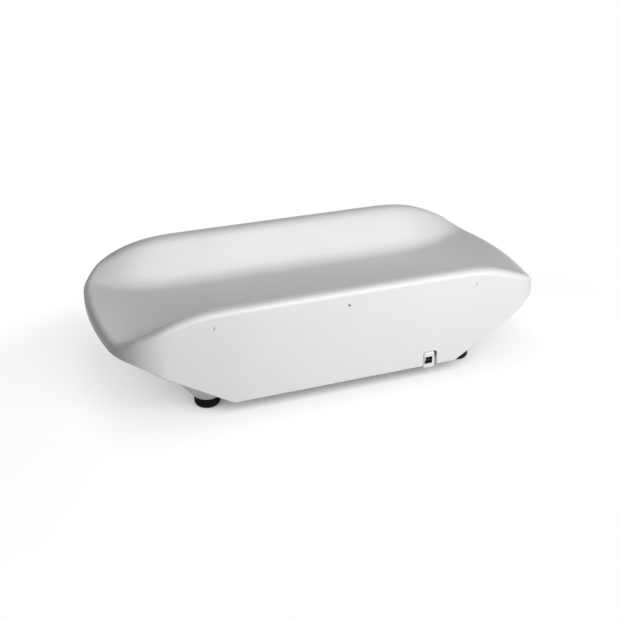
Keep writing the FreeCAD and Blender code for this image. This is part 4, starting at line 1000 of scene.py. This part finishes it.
def inner_rows(sizes, cradle, hollow):
    """The hollow's wall and its ceiling, one wall thickness below the lying surface."""

    def ceiling(plan):
        rise = [(cradle.height(plan[:, 0] + dx, plan[:, 1] + dy)
                 - cradle.height(plan[:, 0] - dx, plan[:, 1] - dy)) / (2 * PROBE)
                for dx, dy in ((PROBE, 0), (0, PROBE))]
        thick = sizes.wall * np.minimum(np.sqrt(1 + rise[0] ** 2 + rise[1] ** 2), STEEPEST)
        return cradle.height(plan[:, 0], plan[:, 1]) - thick

    top = np.full(len(hollow), 0.1)
    for _ in range(5):
        plan, _ = hollow_outline(sizes, top)
        top = np.maximum(ceiling(plan), hollow + 1 * MM)
    rows = []
    for part in (0.03, 0.5, 0.97, 1.0):
        height = hollow + (top - hollow) * part
        rows.append(np.column_stack([hollow_outline(sizes, height)[0], height]))
    middle = meeting_line(plan[:, 0], CEILING_REACH)
    for part in np.linspace(0, 1, CEILING_ROWS + 1)[1:] ** CEILING_CROWD:
        place = plan * (1 - part) + middle * part
        rows.append(np.column_stack([place, ceiling(place)]))
    return rows


def tray_form(sizes):
    """The tray as one closed skin of rows and stations."""
    rows = [row for group in tray_rows(sizes) for row in group]
    return tidy_mesh(mesh_from(np.concatenate(rows), grid_faces(len(rows), len(rows[0]))), 5e-6)


def wall_face(height, sizes):
    """How far the drafted long walls stand from the middle at a height."""
    return sizes.half_y - (height - sizes.low_z) * math.tan(sizes.draft)


def notch_tool(sizes, side, span, top_z, corner, depth):
    """A cutter for a slot in a long wall, with a small chamfer along its outer edge."""
    rings = []
    for offset, extra in ((-depth, 0.0), (-CHAMFER, 0.0), (CHAMFER, 2 * CHAMFER),
                          (4 * CHAMFER, 2 * CHAMFER)):
        outline = rounded_outline(*span, 5 * MM, top_z, corner, extra)
        rings.append([(u, side * (wall_face(v, sizes) + offset), v) for u, v in outline])
    return loft(rings)


def hole_tool(sizes, x, diameter, depth, chamfer):
    """A cutter for a round hole in the rear wall, square to it, with a chamfered mouth."""
    face = wall_face(ROD_Z, sizes)
    radius = diameter / 2
    profile = [(radius, -depth), (radius, -chamfer), (radius + chamfer, 0.0),
               (radius + 1.6 * chamfer, 0.6 * chamfer)]
    return turned(profile, (x, face, ROD_Z), "y", 48)


def tray_tools(sizes):
    """Everything that is cut out of the tray's walls."""
    tools = [notch_tool(sizes, 1, SOCKET_SPAN, SOCKET_NOTCH_TOP, 3 * MM, 20 * MM),
             notch_tool(sizes, -1, (-88 * MM, 88 * MM), 78 * MM, 4.5 * MM, 20 * MM),
             hole_tool(sizes, 0.0, 3.3 * MM, 14 * MM, 0.25 * MM)]
    for x in (-ROD_X, ROD_X):
        tools.append(hole_tool(sizes, x, 7.1 * MM, 11 * MM, 0.5 * MM))
    return tools


def insert_bosses(sizes):
    """The bosses behind the rear wall that hold the rod inserts."""
    face = wall_face(ROD_Z, sizes)
    return [turned([(6 * MM, -16 * MM), (6 * MM, -1.5 * MM)], (x, face, ROD_Z), "y", 40)
            for x in (-ROD_X, ROD_X)]


RIB_LOW, BOSS_LOW = 66 * MM, 56 * MM
RIB_LINES = [((-153, y), (153, y)) for y in (-40, 40)] + [((x, -100), (x, 100))
                                                          for x in (-85, 0, 85)]
BOSS_PLACES = [(x, y) for x in (-165, 165) for y in (-70, 70)]


def lower_skin(cradle, x, y, wall):
    """Height of the tray's underside at one plan place."""
    places = np.array([(x, y), (x + PROBE, y), (x - PROBE, y), (x, y + PROBE), (x, y - PROBE)])
    level, ahead, behind, left, right = cradle.height(places[:, 0], places[:, 1])
    steep = math.sqrt(1 + ((ahead - behind) / (2 * PROBE)) ** 2
                      + ((left - right) / (2 * PROBE)) ** 2)
    return level - wall * min(steep, STEEPEST)


def rib(cradle, start, stop, wall):
    """A drafted stiffening rib under the tray, from its lower edge up into the skin."""
    start, stop = Vector(start), Vector(stop)
    side = Vector((stop - start)[:2]).normalized().orthogonal()
    rings = []
    for part in np.linspace(0, 1, 41):
        x, y = start.lerp(stop, part)
        high = lower_skin(cradle, x, y, wall) + 0.5 * MM
        ring = []
        for across, z in ((-0.8, RIB_LOW), (0.8, RIB_LOW), (1.0, high - 3 * MM), (1.9, high),
                          (-1.9, high), (-1.0, high - 3 * MM)):
            ring.append((x + side.x * across * MM, y + side.y * across * MM, z))
        rings.append(ring)
    return loft(rings)


def boss(cradle, x, y, wall):
    """A screw post under the tray with a flared root."""
    rings = []
    for radius, drop in ((5.6, None), (6.0, 12.0), (6.2, 3.0), (7.4, -0.5)):
        ring = []
        for turn in np.linspace(0, 2 * math.pi, 33)[:-1]:
            u, v = x + radius * MM * math.cos(turn), y + radius * MM * math.sin(turn)
            z = BOSS_LOW if drop is None else lower_skin(cradle, u, v, wall) - drop * MM
            ring.append((u, v, max(z, BOSS_LOW + (radius - 5.6) * MM)))
        rings.append(ring)
    return loft(rings)


# ---- operators ----

# Half the width of the stage's floor in metres.
FLOOR_HALF = 3.0


class SCALE_OT_tray(bpy.types.Operator):
    """Build the cradle tray: lying surface, rolled rim, walls, hollow and cut-outs."""

    bl_idname = "scale.tray"
    bl_label = "Cradle tray"

    def execute(self, context):
        sizes = context.scene.scale_tray
        tray = as_object("cradle_tray", tray_form(sizes))
        carve(tray, insert_bosses(sizes), "UNION")
        carve(tray, tray_tools(sizes))
        seat(tray, "platform", "white_plastic", ("tray_shell",), 32.0)
        cradle = Cradle(sizes)
        forms = [rib(cradle, *(tuple(c * MM for c in end) for end in line), sizes.wall)
                 for line in RIB_LINES]
        forms += [boss(cradle, x * MM, y * MM, sizes.wall) for x, y in BOSS_PLACES]
        seat(as_object("tray_ribs", merged(forms)), "platform", "white_plastic", (), 30.0)
        return {"FINISHED"}


class SCALE_OT_rear_fixings(bpy.types.Operator):
    """Build the threaded rod inserts and the white caps that close them."""

    bl_idname = "scale.rear_fixings"
    bl_label = "Rod inserts and caps"

    def execute(self, context):
        sizes = context.scene.scale_tray
        face = wall_face(ROD_Z, sizes)
        sleeve = [(2.25, -10.0), (3.2, -10.0), (3.5, -9.6), (3.5, -6.4), (3.15, -6.1), (3.15, -5.0),
                  (3.5, -4.7), (3.5, -2.0), (3.3, -1.7), (2.25, -1.7)]
        cap = [(0.0, -1.3), (0.55, -1.3), (0.75, -0.9), (2.6, -0.75), (3.1, -0.85), (3.3, -1.1),
               (3.3, -1.65), (0.0, -1.65)]
        for name, profile, slot, nodes in (("rod_sleeves", sleeve, "nickel", ("rod_inserts",)),
                                           ("rod_caps", cap, "white_plastic", ())):
            forms = [ring_form([(radius * MM, offset * MM) for radius, offset in profile],
                               (x, face, ROD_Z), profile[0][0] == 0.0) for x in (-ROD_X, ROD_X)]
            seat(as_object(name, merged(forms)), "platform", slot, nodes, 35.0)
        return {"FINISHED"}


def ring_form(profile, centre, solid):
    """A round form about a line along Y: a solid, or a ring with a bore."""
    if solid:
        return turned([(max(radius, 0.02 * MM), offset) for radius, offset in profile],
                      centre, "y", 48)
    rings = round_rings(profile + profile[:1], centre, "y", 48)
    points = [p for ring in rings for p in ring]
    return tidy_mesh(mesh_from(points, grid_faces(len(rings), 48)), 1e-7)


# Height of a foot's upper edge in millimetres.
FOOT_TOP = 14.5


def pod_trim(low, high):
    """A cutter that slims a foot's pod and sets its rim, short of the slanted shell above."""
    x, y = (low.x + high.x) / 2, (low.y + high.y) / 2
    side = math.copysign(1, x)
    profile = [(0.05, FOOT_TOP), (17.3, FOOT_TOP), (17.6, FOOT_TOP + 0.4), (43.3, 47.0),
               (52.0, 47.0), (23.0, 12.0), (0.05, 12.0)]
    tool = as_object("tool", turned([(a * MM, b * MM) for a, b in profile], (x, y, 0.0), "z", 96))
    shell = [(side * u * MM, (15.2 + END_SLOPE * (u - 153.5)) * MM) for u in (130, 240)]
    below = [(side * 240 * MM, -10 * MM), (side * 130 * MM, -10 * MM)]
    carve(tool, [loft([[(u, v, w) for u, w in shell + below] for v in (-0.2, 0.2)])], "INTERSECT")
    mesh = tool.data
    bpy.data.objects.remove(tool)
    return mesh


class SCALE_OT_mouldings(bpy.types.Operator):
    """Smooth the base, console, battery bay and display frame, and slim the pods."""

    bl_idname = "scale.mouldings"
    bl_label = "Base and console mouldings"

    def execute(self, context):
        base = smooth_copy("base_moulding", "base_tray", "base", "white_plastic")
        carve(base, [pod_trim(*box) for box in solids("rubber_feet")])
        soften(base.data, 28.0)
        smooth_copy("console_moulding", "console_housing", "base", "white_plastic")
        smooth_copy("bay_cover", "battery_cover", "bay_door", "white_plastic")
        smooth_copy("bay_box", "battery_box", "base", "black_plastic")
        smooth_copy("panel_frame", "display_holder", "base", "grey_plastic")
        return {"FINISHED"}


# The white frame round the power inlet: its sides, foot and top.
INLET_SPAN = (-122.9 * MM, -107.3 * MM)
INLET_FOOT, INLET_TOP = 14.05 * MM, 35.4 * MM


class SCALE_OT_inlet(bpy.types.Operator):
    """Build the white frame and the black body of the power inlet."""

    bl_idname = "scale.inlet"
    bl_label = "Power inlet"

    def execute(self, context):
        # The frame's front lies just inside the tray's outer face, and its hole fits the socket.
        low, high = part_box("power_socket")
        front, back = wall_face(INLET_TOP, context.scene.scale_tray) - 0.02 * MM, 133 * MM
        spans = (*INLET_SPAN, INLET_FOOT, INLET_TOP)
        rings = []
        for y, inset, corner in ((back, 0.0, 2.2), (front - 1.6 * MM, 0.0, 2.2),
                                 (front - 0.5 * MM, 0.75, 1.6), (front, 1.1, 1.3)):
            outline = rounded_outline(spans[0] + inset * 0.35 * MM, spans[1] - inset * 0.35 * MM,
                                      spans[2], spans[3] - inset * 1.9 * MM, corner * MM)
            rings.append([(u - 0.05 * max(v - spans[2], 0) * (u > -115 * MM), y, v)
                          for u, v in outline])
        frame_piece = as_object("inlet_frame", loft(rings))
        hole = rounded_outline(low.x, high.x, low.z, high.z, 0.9 * MM, 0.55 * MM)
        carve(frame_piece, [loft([[(u, y, v) for u, v in hole] for y in (0.125, 0.145)])])
        seat(frame_piece, "base", "white_plastic", (), 30.0)
        rings = []
        for y, extra in ((low.y, 0.0), (front - 0.35 * MM, 0.45), (front - 0.05 * MM, 0.2)):
            outline = rounded_outline(low.x, high.x, low.z, high.z, 0.9 * MM, extra * MM)
            rings.append([(u, y, v) for u, v in outline])
        body = as_object("inlet_body", loft(rings))
        rim, depth = 1.0 * MM, 9 * MM
        mouth, flare = (rounded_outline(low.x + rim, high.x - rim, low.z + rim, high.z - rim,
                                        1.0 * MM, extra) for extra in (0.0, 0.5 * MM))
        carve(body, [loft([[(u, y, v) for u, v in line] for y, line in
                           ((front - depth, mouth), (front - 0.9 * MM, mouth),
                            (front + 0.1 * MM, flare), (front + 2 * MM, flare))])])
        seat(body, "base", "black_plastic", ("power_socket",), 30.0)
        key = as_object("inlet_key", loft([[(u, y, v) for u, v in rounded_outline(
            low.x + 2.2 * MM, high.x - 5.2 * MM, low.z + 3.6 * MM, high.z - 3.6 * MM, 0.5 * MM)]
            for y in (front - depth, front - 1.6 * MM)]))
        seat(key, "base", "black_plastic", (), 30.0)
        smooth_copy("inlet_blade", "socket_pin", "base", "nickel")
        return {"FINISHED"}


class SCALE_OT_feet(bpy.types.Operator):
    """Turn the four rubber feet with their grip rings and pressed-in stems."""

    bl_idname = "scale.feet"
    bl_label = "Rubber feet"

    def execute(self, context):
        forms = []
        for low, high in solids("rubber_feet"):
            centre = ((low.x + high.x) / 2, (low.y + high.y) / 2, 0.0)
            forms.append(turned(foot_profile((high.x - low.x) / 2, high.z), centre, "z", 96))
        seat(as_object("foot_pads", merged(forms)), "base", "black_rubber", ("rubber_feet",), 28.0)
        return {"FINISHED"}


def foot_profile(radius, top):
    """Half outline of a foot: ringed sole, rounded edge, flank with a bead, and stem."""
    sole = [(0.05 * MM, 0.9 * MM), (3.0 * MM, 0.9 * MM), (3.3 * MM, 0.1 * MM)]
    for start in (3.6, 6.4, 9.2):
        sole += [((start + step) * MM, depth * MM) for step, depth in
                 ((0.0, 0.0), (1.7, 0.0), (1.95, 0.7), (2.55, 0.7))]
    edge = [(radius - 4.8 * MM + 4.8 * MM * math.sin(turn), 5.2 * MM - 5.2 * MM * math.cos(turn))
            for turn in np.radians(np.arange(8, 91, 9.1))]
    flank = [(radius, 8.6 * MM), (radius - 0.45 * MM, 9.0 * MM), (radius - 0.45 * MM, 9.7 * MM),
             (radius, 10.1 * MM), (radius, (FOOT_TOP - 0.5) * MM),
             (radius - 0.5 * MM, FOOT_TOP * MM)]
    stem = [(4.5 * MM, FOOT_TOP * MM), (4.5 * MM, top - 1 * MM), (3.6 * MM, top), (0.05 * MM, top)]
    return sole + edge + flank + stem


class SCALE_OT_screws(bpy.types.Operator):
    """Grow the screws and bolts with their recesses and threads."""

    bl_idname = "scale.screws"
    bl_label = "Screws and bolts"

    def execute(self, context):
        screws("tray_fixings", "tray_screws", "platform", 2.4 * MM, False)
        screws("frame_fixings", "frame_bolts", "platform", 3.0 * MM, True)
        screws("cell_fixings", "base_bolts", "base", 3.0 * MM, False)
        screws("stop_fixings", "overload_stops", "base", 3.0 * MM, True)
        screws("console_fixings", "console_screws", "base", 1.4 * MM, False)
        screws("board_fixings", "board_screws", "base", 2.4 * MM, True, FACE)
        return {"FINISHED"}


# Half outlines of a battery from its flat end: millimetres and shares of radius and length.
JACKET = ((0, 0.78, 0.25, 0), (-0.3, 1, 0.05, 0), (0, 1, 0.5, 0), (0, 1, -2.0, 1),
          (-0.4, 1, -1.5, 1), (0, 0.72, -1.35, 1))
CELL_CAN = ((0.05, 0, 0.12, 0), (0, 0.70, 0.0, 0), (0, 0.76, 0.3, 0), (0, 0.76, -1.8, 1),
            (0, 0.42, -1.5, 1), (0, 0.40, -1.2, 1), (0, 0.38, -0.15, 1), (0, 0.34, 0, 1),
            (0.05, 0, 0, 1))


class SCALE_OT_power(bpy.types.Operator):
    """Build the batteries, their contact springs and plates."""

    bl_idname = "scale.power"
    bl_label = "Batteries and contacts"

    def execute(self, context):
        jackets, ends = [], []
        for n, (low, high) in enumerate(sorted(solids("batteries"), key=lambda box: box[0].y)):
            way = 1 if n % 2 else -1
            tail = low.x if way > 0 else high.x
            centre = (tail, (low.y + high.y) / 2, (low.z + high.z) / 2)
            radius, reach = (high.y - low.y) / 2, high.x - low.x
            for forms, outline, steps in ((jackets, JACKET, 48), (ends, CELL_CAN, 40)):
                forms.append(turned([(a * MM + b * radius, way * (c * MM + d * reach))
                                     for a, b, c, d in outline], centre, "x", steps))
        seat(as_object("cell_jackets", merged(jackets)), "base", "cell_jacket", ("batteries",))
        seat(as_object("cell_ends", merged(ends)), "base", "nickel", ())
        coils, wire = [], 0.45 * MM
        for low, high in solids("battery_springs"):
            g = Growth("spring_form", {"Radius": (high.y - low.y) / 2 - wire, "Wire": wire,
                                       "Length": high.x - low.x - 2 * wire, "Turns": 4.5,
                                       "Finish": finish("nickel")})
            form = g.coil(*map(g.given, ("Radius", "Length", "Turns", "Wire")))
            place = (low.x + wire, (low.y + high.y) / 2, (low.z + high.z) / 2)
            coils.append(g.grow("coil", form, [place], (0.0, math.pi / 2, 0.0)))
        springs = as_object("cell_springs", merged([coil.data for coil in coils]))
        for coil in coils:
            bpy.data.objects.remove(coil)
        seat(springs, "base", "nickel", ("battery_springs",), 60.0)
        smooth_copy("cell_contacts", "battery_contacts", "base", "nickel")
        return {"FINISHED"}


def zero_bars(left, low, wide, high, thick):
    """Outlines of the six bars of a nought, along and up the console's face."""
    half = thick / 2
    middle, right = low + high / 2, left + wide

    def across(v):
        return [(left + half, v), (left + thick, v + half), (right - thick, v + half),
                (right - half, v), (right - thick, v - half), (left + thick, v - half)]

    def upright(u, v0, v1):
        return [(u, v0 + half), (u + half, v0 + thick), (u + half, v1 - thick),
                (u, v1 - half), (u - half, v1 - thick), (u - half, v0 + thick)]

    return [across(low + high), upright(right, middle, low + high), upright(right, low, middle),
            across(low), upright(left, low, middle), upright(left, middle, low + high)]


class SCALE_OT_display(bpy.types.Operator):
    """Dress the window, its printed border and the display panel with its digits."""

    bl_idname = "scale.display"
    bl_label = "Display"

    def execute(self, context):
        smooth_copy("window_lens", "display_lens", "base", "lens")
        smooth_copy("display_glass", "lcd_panel", "base", "display")
        outer = rounded_outline(-44.9 * MM, 44.9 * MM, 28.1 * MM, 52.9 * MM, 0.5 * MM)
        inner = rounded_outline(-37 * MM, 37 * MM, 32 * MM, 49 * MM, 1.2 * MM)
        border = as_object("window_border", on_face(outer, 1.3 * MM, 1.45 * MM))
        carve(border, [on_face(inner, 1.0 * MM, 2.0 * MM)])
        seat(border, "base", "black_plastic", (), 30.0)
        bars = []
        for n in range(4):
            left = (-24 + 13.5 * n) * MM
            bars += zero_bars(left, 34.5 * MM, 8 * MM, 12 * MM, 1.5 * MM)
        bars.append(rounded_outline(-0.4 * MM, 0.9 * MM, 33.9 * MM, 35.2 * MM, 0.5 * MM))
        digits = merged([on_face(outline, 2.52 * MM, 2.58 * MM) for outline in bars])
        seat(as_object("display_digits", digits), "base", "black_plastic", (), 30.0)
        return {"FINISHED"}


class SCALE_OT_keys(bpy.types.Operator):
    """Smooth the four buttons and raise their signs."""

    bl_idname = "scale.keys"
    bl_label = "Buttons"

    def execute(self, context):
        for key, sign in zip(("power", "zero", "hold", "unit"), key_signs()):
            smooth_copy(f"{key}_key_cap", f"{key}_button", f"{key}_key", "key_plastic")
            mark = merged([on_face(outline, -1.26 * MM, -1.15 * MM) for outline in sign])
            seat(as_object(f"{key}_sign", mark), f"{key}_key", "grey_plastic", (), 30.0)
        return {"FINISHED"}


def arc(u, v, radius, start, stop, thick=0.7 * MM, steps=28):
    """Outline of a round bar about a point, between two angles in degrees."""
    angles = np.radians(np.linspace(start, stop, steps))
    outer = [(u + (radius + thick / 2) * math.cos(a), v + (radius + thick / 2) * math.sin(a))
             for a in angles]
    inner = [(u + (radius - thick / 2) * math.cos(a), v + (radius - thick / 2) * math.sin(a))
             for a in angles[::-1]]
    return outer + inner


def bar(u, v, wide, high):
    """Outline of a plain bar about a point."""
    return rounded_outline(u - wide / 2, u + wide / 2, v - high / 2, v + high / 2,
                           min(wide, high) * 0.45)


# Step from button to button along the face, and their height on it.
KEY_PITCH, KEY_MIDDLE = 36 * MM, 15 * MM


def key_signs():
    """Plain signs for on and off, zero, hold and change of unit."""
    places = [KEY_PITCH * k for k in (-1.5, -0.5, 0.5, 1.5)]
    v = KEY_MIDDLE
    ring = arc(places[0], v, 2.4 * MM, 125, 415)
    stem = bar(places[0], v + 1.9 * MM, 0.7 * MM, 2.6 * MM)
    zero = [arc(places[1], v, 2.4 * MM, 0, 179.99), arc(places[1], v, 2.4 * MM, 180, 359.99)]
    hold = [bar(places[2] - 1.1 * MM, v, 0.9 * MM, 5 * MM),
            bar(places[2] + 1.1 * MM, v, 0.9 * MM, 5 * MM)]
    u = places[3]
    arrows = [[(u + way * a * MM, v + way * b * MM) for a, b in
               ((-3.2, 0.5), (0.2, 0.5), (-1.5, 2.9))] for way in (1, -1)]
    return [[ring, stem], zero, hold, arrows]


class SCALE_OT_boards(bpy.types.Operator):
    """Dress the circuit boards and set their chips, pins and capacitors."""

    bl_idname = "scale.boards"
    bl_label = "Circuit boards"

    def execute(self, context):
        smooth_copy("main_circuit", "main_board", "base", "board")
        smooth_copy("inlet_circuit", "socket_board", "base", "board")
        smooth_copy("push_switches", "key_switches", "base", "grey_plastic")
        chips = [(-38, 30, 14, 9), (22, 31, 10, 7), (52, 22, 6, 6)]
        bodies = [on_face(rounded_outline(*[c * MM for c in (u - w / 2, u + w / 2, v - h / 2,
                                                            v + h / 2)], 0.4 * MM),
                          13.9 * MM, 15.9 * MM) for u, v, w, h in chips]
        seat(as_object("board_chips", merged(bodies)), "base", "black_plastic", (), 30.0)
        places = []
        for u, v, w, h in chips:
            for n in range(int(w / 1.27)):
                along = (u - w / 2 + 0.9 + 1.27 * n) * MM
                places += [FACE @ Vector((along, 13.9 * MM, (v + side * (h / 2 + 0.7)) * MM))
                           for side in (-1, 1)]
        g = Growth("pin_form", {"Width": 0.5 * MM, "Reach": 1.6 * MM, "Height": 0.6 * MM,
                                "Finish": finish("nickel")})
        form = g.brick(g.given("Width"), g.given("Height"), g.given("Reach"))
        seat(g.grow("board_pins", form, places, (-FACE_ANGLE, 0.0, 0.0)), "base", "nickel", ())
        cans = [turned([(r * MM, z * MM) for r, z in ((3.2, 19.8), (3.3, 20.8), (3.0, 21.1),
                                                      (3.0, 21.7), (3.3, 22.0), (3.3, 27.4),
                                                      (3.0, 27.9), (0.2, 27.9))],
                       (x, 112 * MM, 0.0), "z", 40) for x in (-124 * MM, -104 * MM)]
        seat(as_object("board_cans", merged(cans)), "base", "cell_jacket", (), 30.0)
        return {"FINISHED"}


class SCALE_OT_fittings(bpy.types.Operator):
    """Smooth the load cell, the platform frame and the plates between them."""

    bl_idname = "scale.fittings"
    bl_label = "Load cell and frame"

    def execute(self, context):
        cell = smooth_copy("beam_cell", "load_cell", None, "alloy")
        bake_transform(cell, "base", "platform", start=(-30 * MM, 0, 0), end=(30 * MM, 0, 0))
        smooth_copy("pressed_frame", "platform_frame", "platform", "zinc_steel")
        smooth_copy("upper_spacer", "frame_spacer", "platform", "zinc_steel")
        smooth_copy("lower_spacer", "base_spacer", "base", "zinc_steel")
        return {"FINISHED"}


def camera_axes(azimuth, elevation):
    """Right, up and backward directions of a camera that looks at its aim."""
    back = Vector((math.sin(azimuth) * math.cos(elevation),
                   -math.cos(azimuth) * math.cos(elevation), math.sin(elevation)))
    right = Vector((0, 0, 1)).cross(back).normalized()
    return right, back.cross(right), back


def facing(azimuth, elevation, aim, distance):
    """A place and turn that looks at the aim."""
    right, up, back = camera_axes(azimuth, elevation)
    turn = Matrix((right, up, back)).transposed().to_4x4()
    return Matrix.Translation(Vector(aim) + back * distance) @ turn


def add_lamp(name, power, size, place, distance, aim=(0, 0, 0.08)):
    """A broad soft lamp that faces the scale."""
    lamp = bpy.data.lights.new(name, "AREA")
    lamp.shape = "RECTANGLE"
    lamp.size, lamp.size_y = size
    lamp.energy = power
    thing = bpy.data.objects.new(name, lamp)
    bpy.context.scene.collection.objects.link(thing)
    thing.matrix_world = facing(*place, aim, distance)
    return thing


def light_world(settings):
    """Even light on the scale, with a white surround for the camera, gloss and glass."""
    world = bpy.data.worlds.new("surround")
    bpy.context.scene.world = world
    world.use_nodes = True
    tree = Tree(world.node_tree.nodes, world.node_tree.links)
    tree.nodes.clear()
    path = tree.add("ShaderNodeLightPath")
    seen, shiny, through = (Signal(tree, path.outputs[f"Is {kind} Ray"])
                            for kind in ("Camera", "Glossy", "Transmission"))
    strength = settings.ambient + (1.0 - settings.ambient) * seen.most(shiny).most(through)
    back = tree.add("ShaderNodeBackground", None,
                    {"Color": (1.0, 1.0, 1.0, 1.0), "Strength": strength})
    tree.add("ShaderNodeOutputWorld", None, {"Surface": back.outputs[0]})


# How far the painted shadow darkens the floor round what stands on it, and the middle and reach of its lit
# patch.
FLOOR_PAINTED_SHADOW_REACH = 105 * MM
FLOOR_PATCH = ((0.03, 0.10), (0.62, 0.42))


def floor_finish(settings):
    """Pale floor: lit by the lamps with a painted shadow round the scale, plain white to the camera further
    out.
    """
    f = Finish("stage_floor")
    f.nodes.remove(f.shader)
    near = f.add("ShaderNodeAmbientOcclusion", {"samples": 16}, {"Distance": FLOOR_PAINTED_SHADOW_REACH})
    tone = settings.floor_tone
    lit = f.add("ShaderNodeBsdfDiffuse", None, {"Color": (tone, tone, tone, 1.0)})
    white = f.add("ShaderNodeEmission", None, {"Color": (1.0, 1.0, 1.0, 1.0)})
    open_sky = Signal(f, near.outputs["AO"])
    # Painted shadow: a white glow dimmed by ambient occlusion near the scale, standing in for the scale's
    # shadow on the floor.
    soft = f.add("ShaderNodeEmission", None,
                 {"Color": (1.0, 1.0, 1.0, 1.0),
                  "Strength": open_sky.ease(-0.15, 0.42) * (0.62 + 0.35 * open_sky)})
    patch = f.add("ShaderNodeMixShader", None,
                  {0: settings.floor_painted_shadow_share, 1: lit.outputs[0], 2: soft.outputs[0]})
    x, y, _ = f.axes()
    (middle_x, middle_y), (reach_x, reach_y) = FLOOR_PATCH
    u, v = (x - middle_x) / reach_x, (y - middle_y) / reach_y
    far = (u * u + v * v).root().ease(0.75, 1.0)
    seen = f.add("ShaderNodeMixShader", None, {0: far, 1: patch.outputs[0], 2: white.outputs[0]})
    plain = f.add("ShaderNodeBsdfDiffuse", None, {"Color": (*settings.floor_colour, 1.0)})
    path = f.add("ShaderNodeLightPath")
    direct = (Signal(f, path.outputs["Is Camera Ray"])
              .most(Signal(f, path.outputs["Is Glossy Ray"])))
    both = f.add("ShaderNodeMixShader", None,
                 {0: direct, 1: plain.outputs[0], 2: seen.outputs[0]})
    f.feed(f.output.inputs["Surface"], both.outputs[0])
    return f.material


class SCALE_OT_stage(bpy.types.Operator):
    """Set up the camera, the lamps, the surround and the floor."""

    bl_idname = "scale.stage"
    bl_label = "Stage"

    def execute(self, context):
        settings = context.scene.scale_stage
        camera = bpy.data.cameras.new("camera")
        camera.lens = settings.lens
        camera.sensor_width = 36.0
        camera.clip_end = 50.0
        eye = bpy.data.objects.new("camera", camera)
        context.scene.collection.objects.link(eye)
        eye.matrix_world = facing(settings.azimuth, settings.elevation, settings.aim,
                                  settings.distance)
        context.scene.camera = eye
        context.scene.view_settings.view_transform = "Standard"
        for name, (*_, size) in LAMPS.items():
            power, turn, height, distance = (getattr(settings, f"{name}_{part}") for part in
                                             ("power", "turn", "height", "distance"))
            add_lamp(name, power, size, (turn, height), distance)
        light_world(settings)
        corners = ((-1, -1), (1, -1), (1, 1), (-1, 1))
        floor = as_object("floor", mesh_from(
            [(FLOOR_HALF * x, FLOOR_HALF * y, 0) for x, y in corners], [(0, 1, 2, 3)]))
        floor.data.materials.append(floor_finish(settings))
        return {"FINISHED"}


class SCALE_PT_panel(bpy.types.Panel):
    """Sidebar panel that lists the pieces and the stage."""

    bl_idname = "SCALE_PT_panel"
    bl_label = "Weighing scale"
    bl_space_type = "VIEW_3D"
    bl_region_type = "UI"
    bl_category = "Scale"

    def draw(self, context):
        for group in ("scale_tray", "scale_colours", "scale_stage"):
            column = self.layout.column(align=True)
            values = getattr(context.scene, group)
            for name in values.bl_rna.properties.keys():
                if name not in ("rna_type", "name"):
                    column.prop(values, name)
        for operator in OPERATORS:
            self.layout.operator(operator.bl_idname)


GROUPS = {"scale_tray": TraySizes, "scale_colours": FinishColours, "scale_stage": StageSettings}
OPERATORS = (SCALE_OT_tray, SCALE_OT_rear_fixings, SCALE_OT_mouldings, SCALE_OT_inlet,
             SCALE_OT_feet, SCALE_OT_screws, SCALE_OT_power, SCALE_OT_display, SCALE_OT_keys,
             SCALE_OT_boards, SCALE_OT_fittings, SCALE_OT_stage)


def register():
    for cls in (*GROUPS.values(), *OPERATORS, SCALE_PT_panel):
        bpy.utils.register_class(cls)
    for name, cls in GROUPS.items():
        setattr(bpy.types.Scene, name, PointerProperty(type=cls))


def unregister():
    for name in GROUPS:
        delattr(bpy.types.Scene, name)
    for cls in reversed((*GROUPS.values(), *OPERATORS, SCALE_PT_panel)):
        bpy.utils.unregister_class(cls)


def main():
    """Build every piece and the stage."""
    register()
    for operator in OPERATORS:
        group, name = operator.bl_idname.split(".")
        getattr(getattr(bpy.ops, group), name)()


if __name__ == "__main__":
    main()
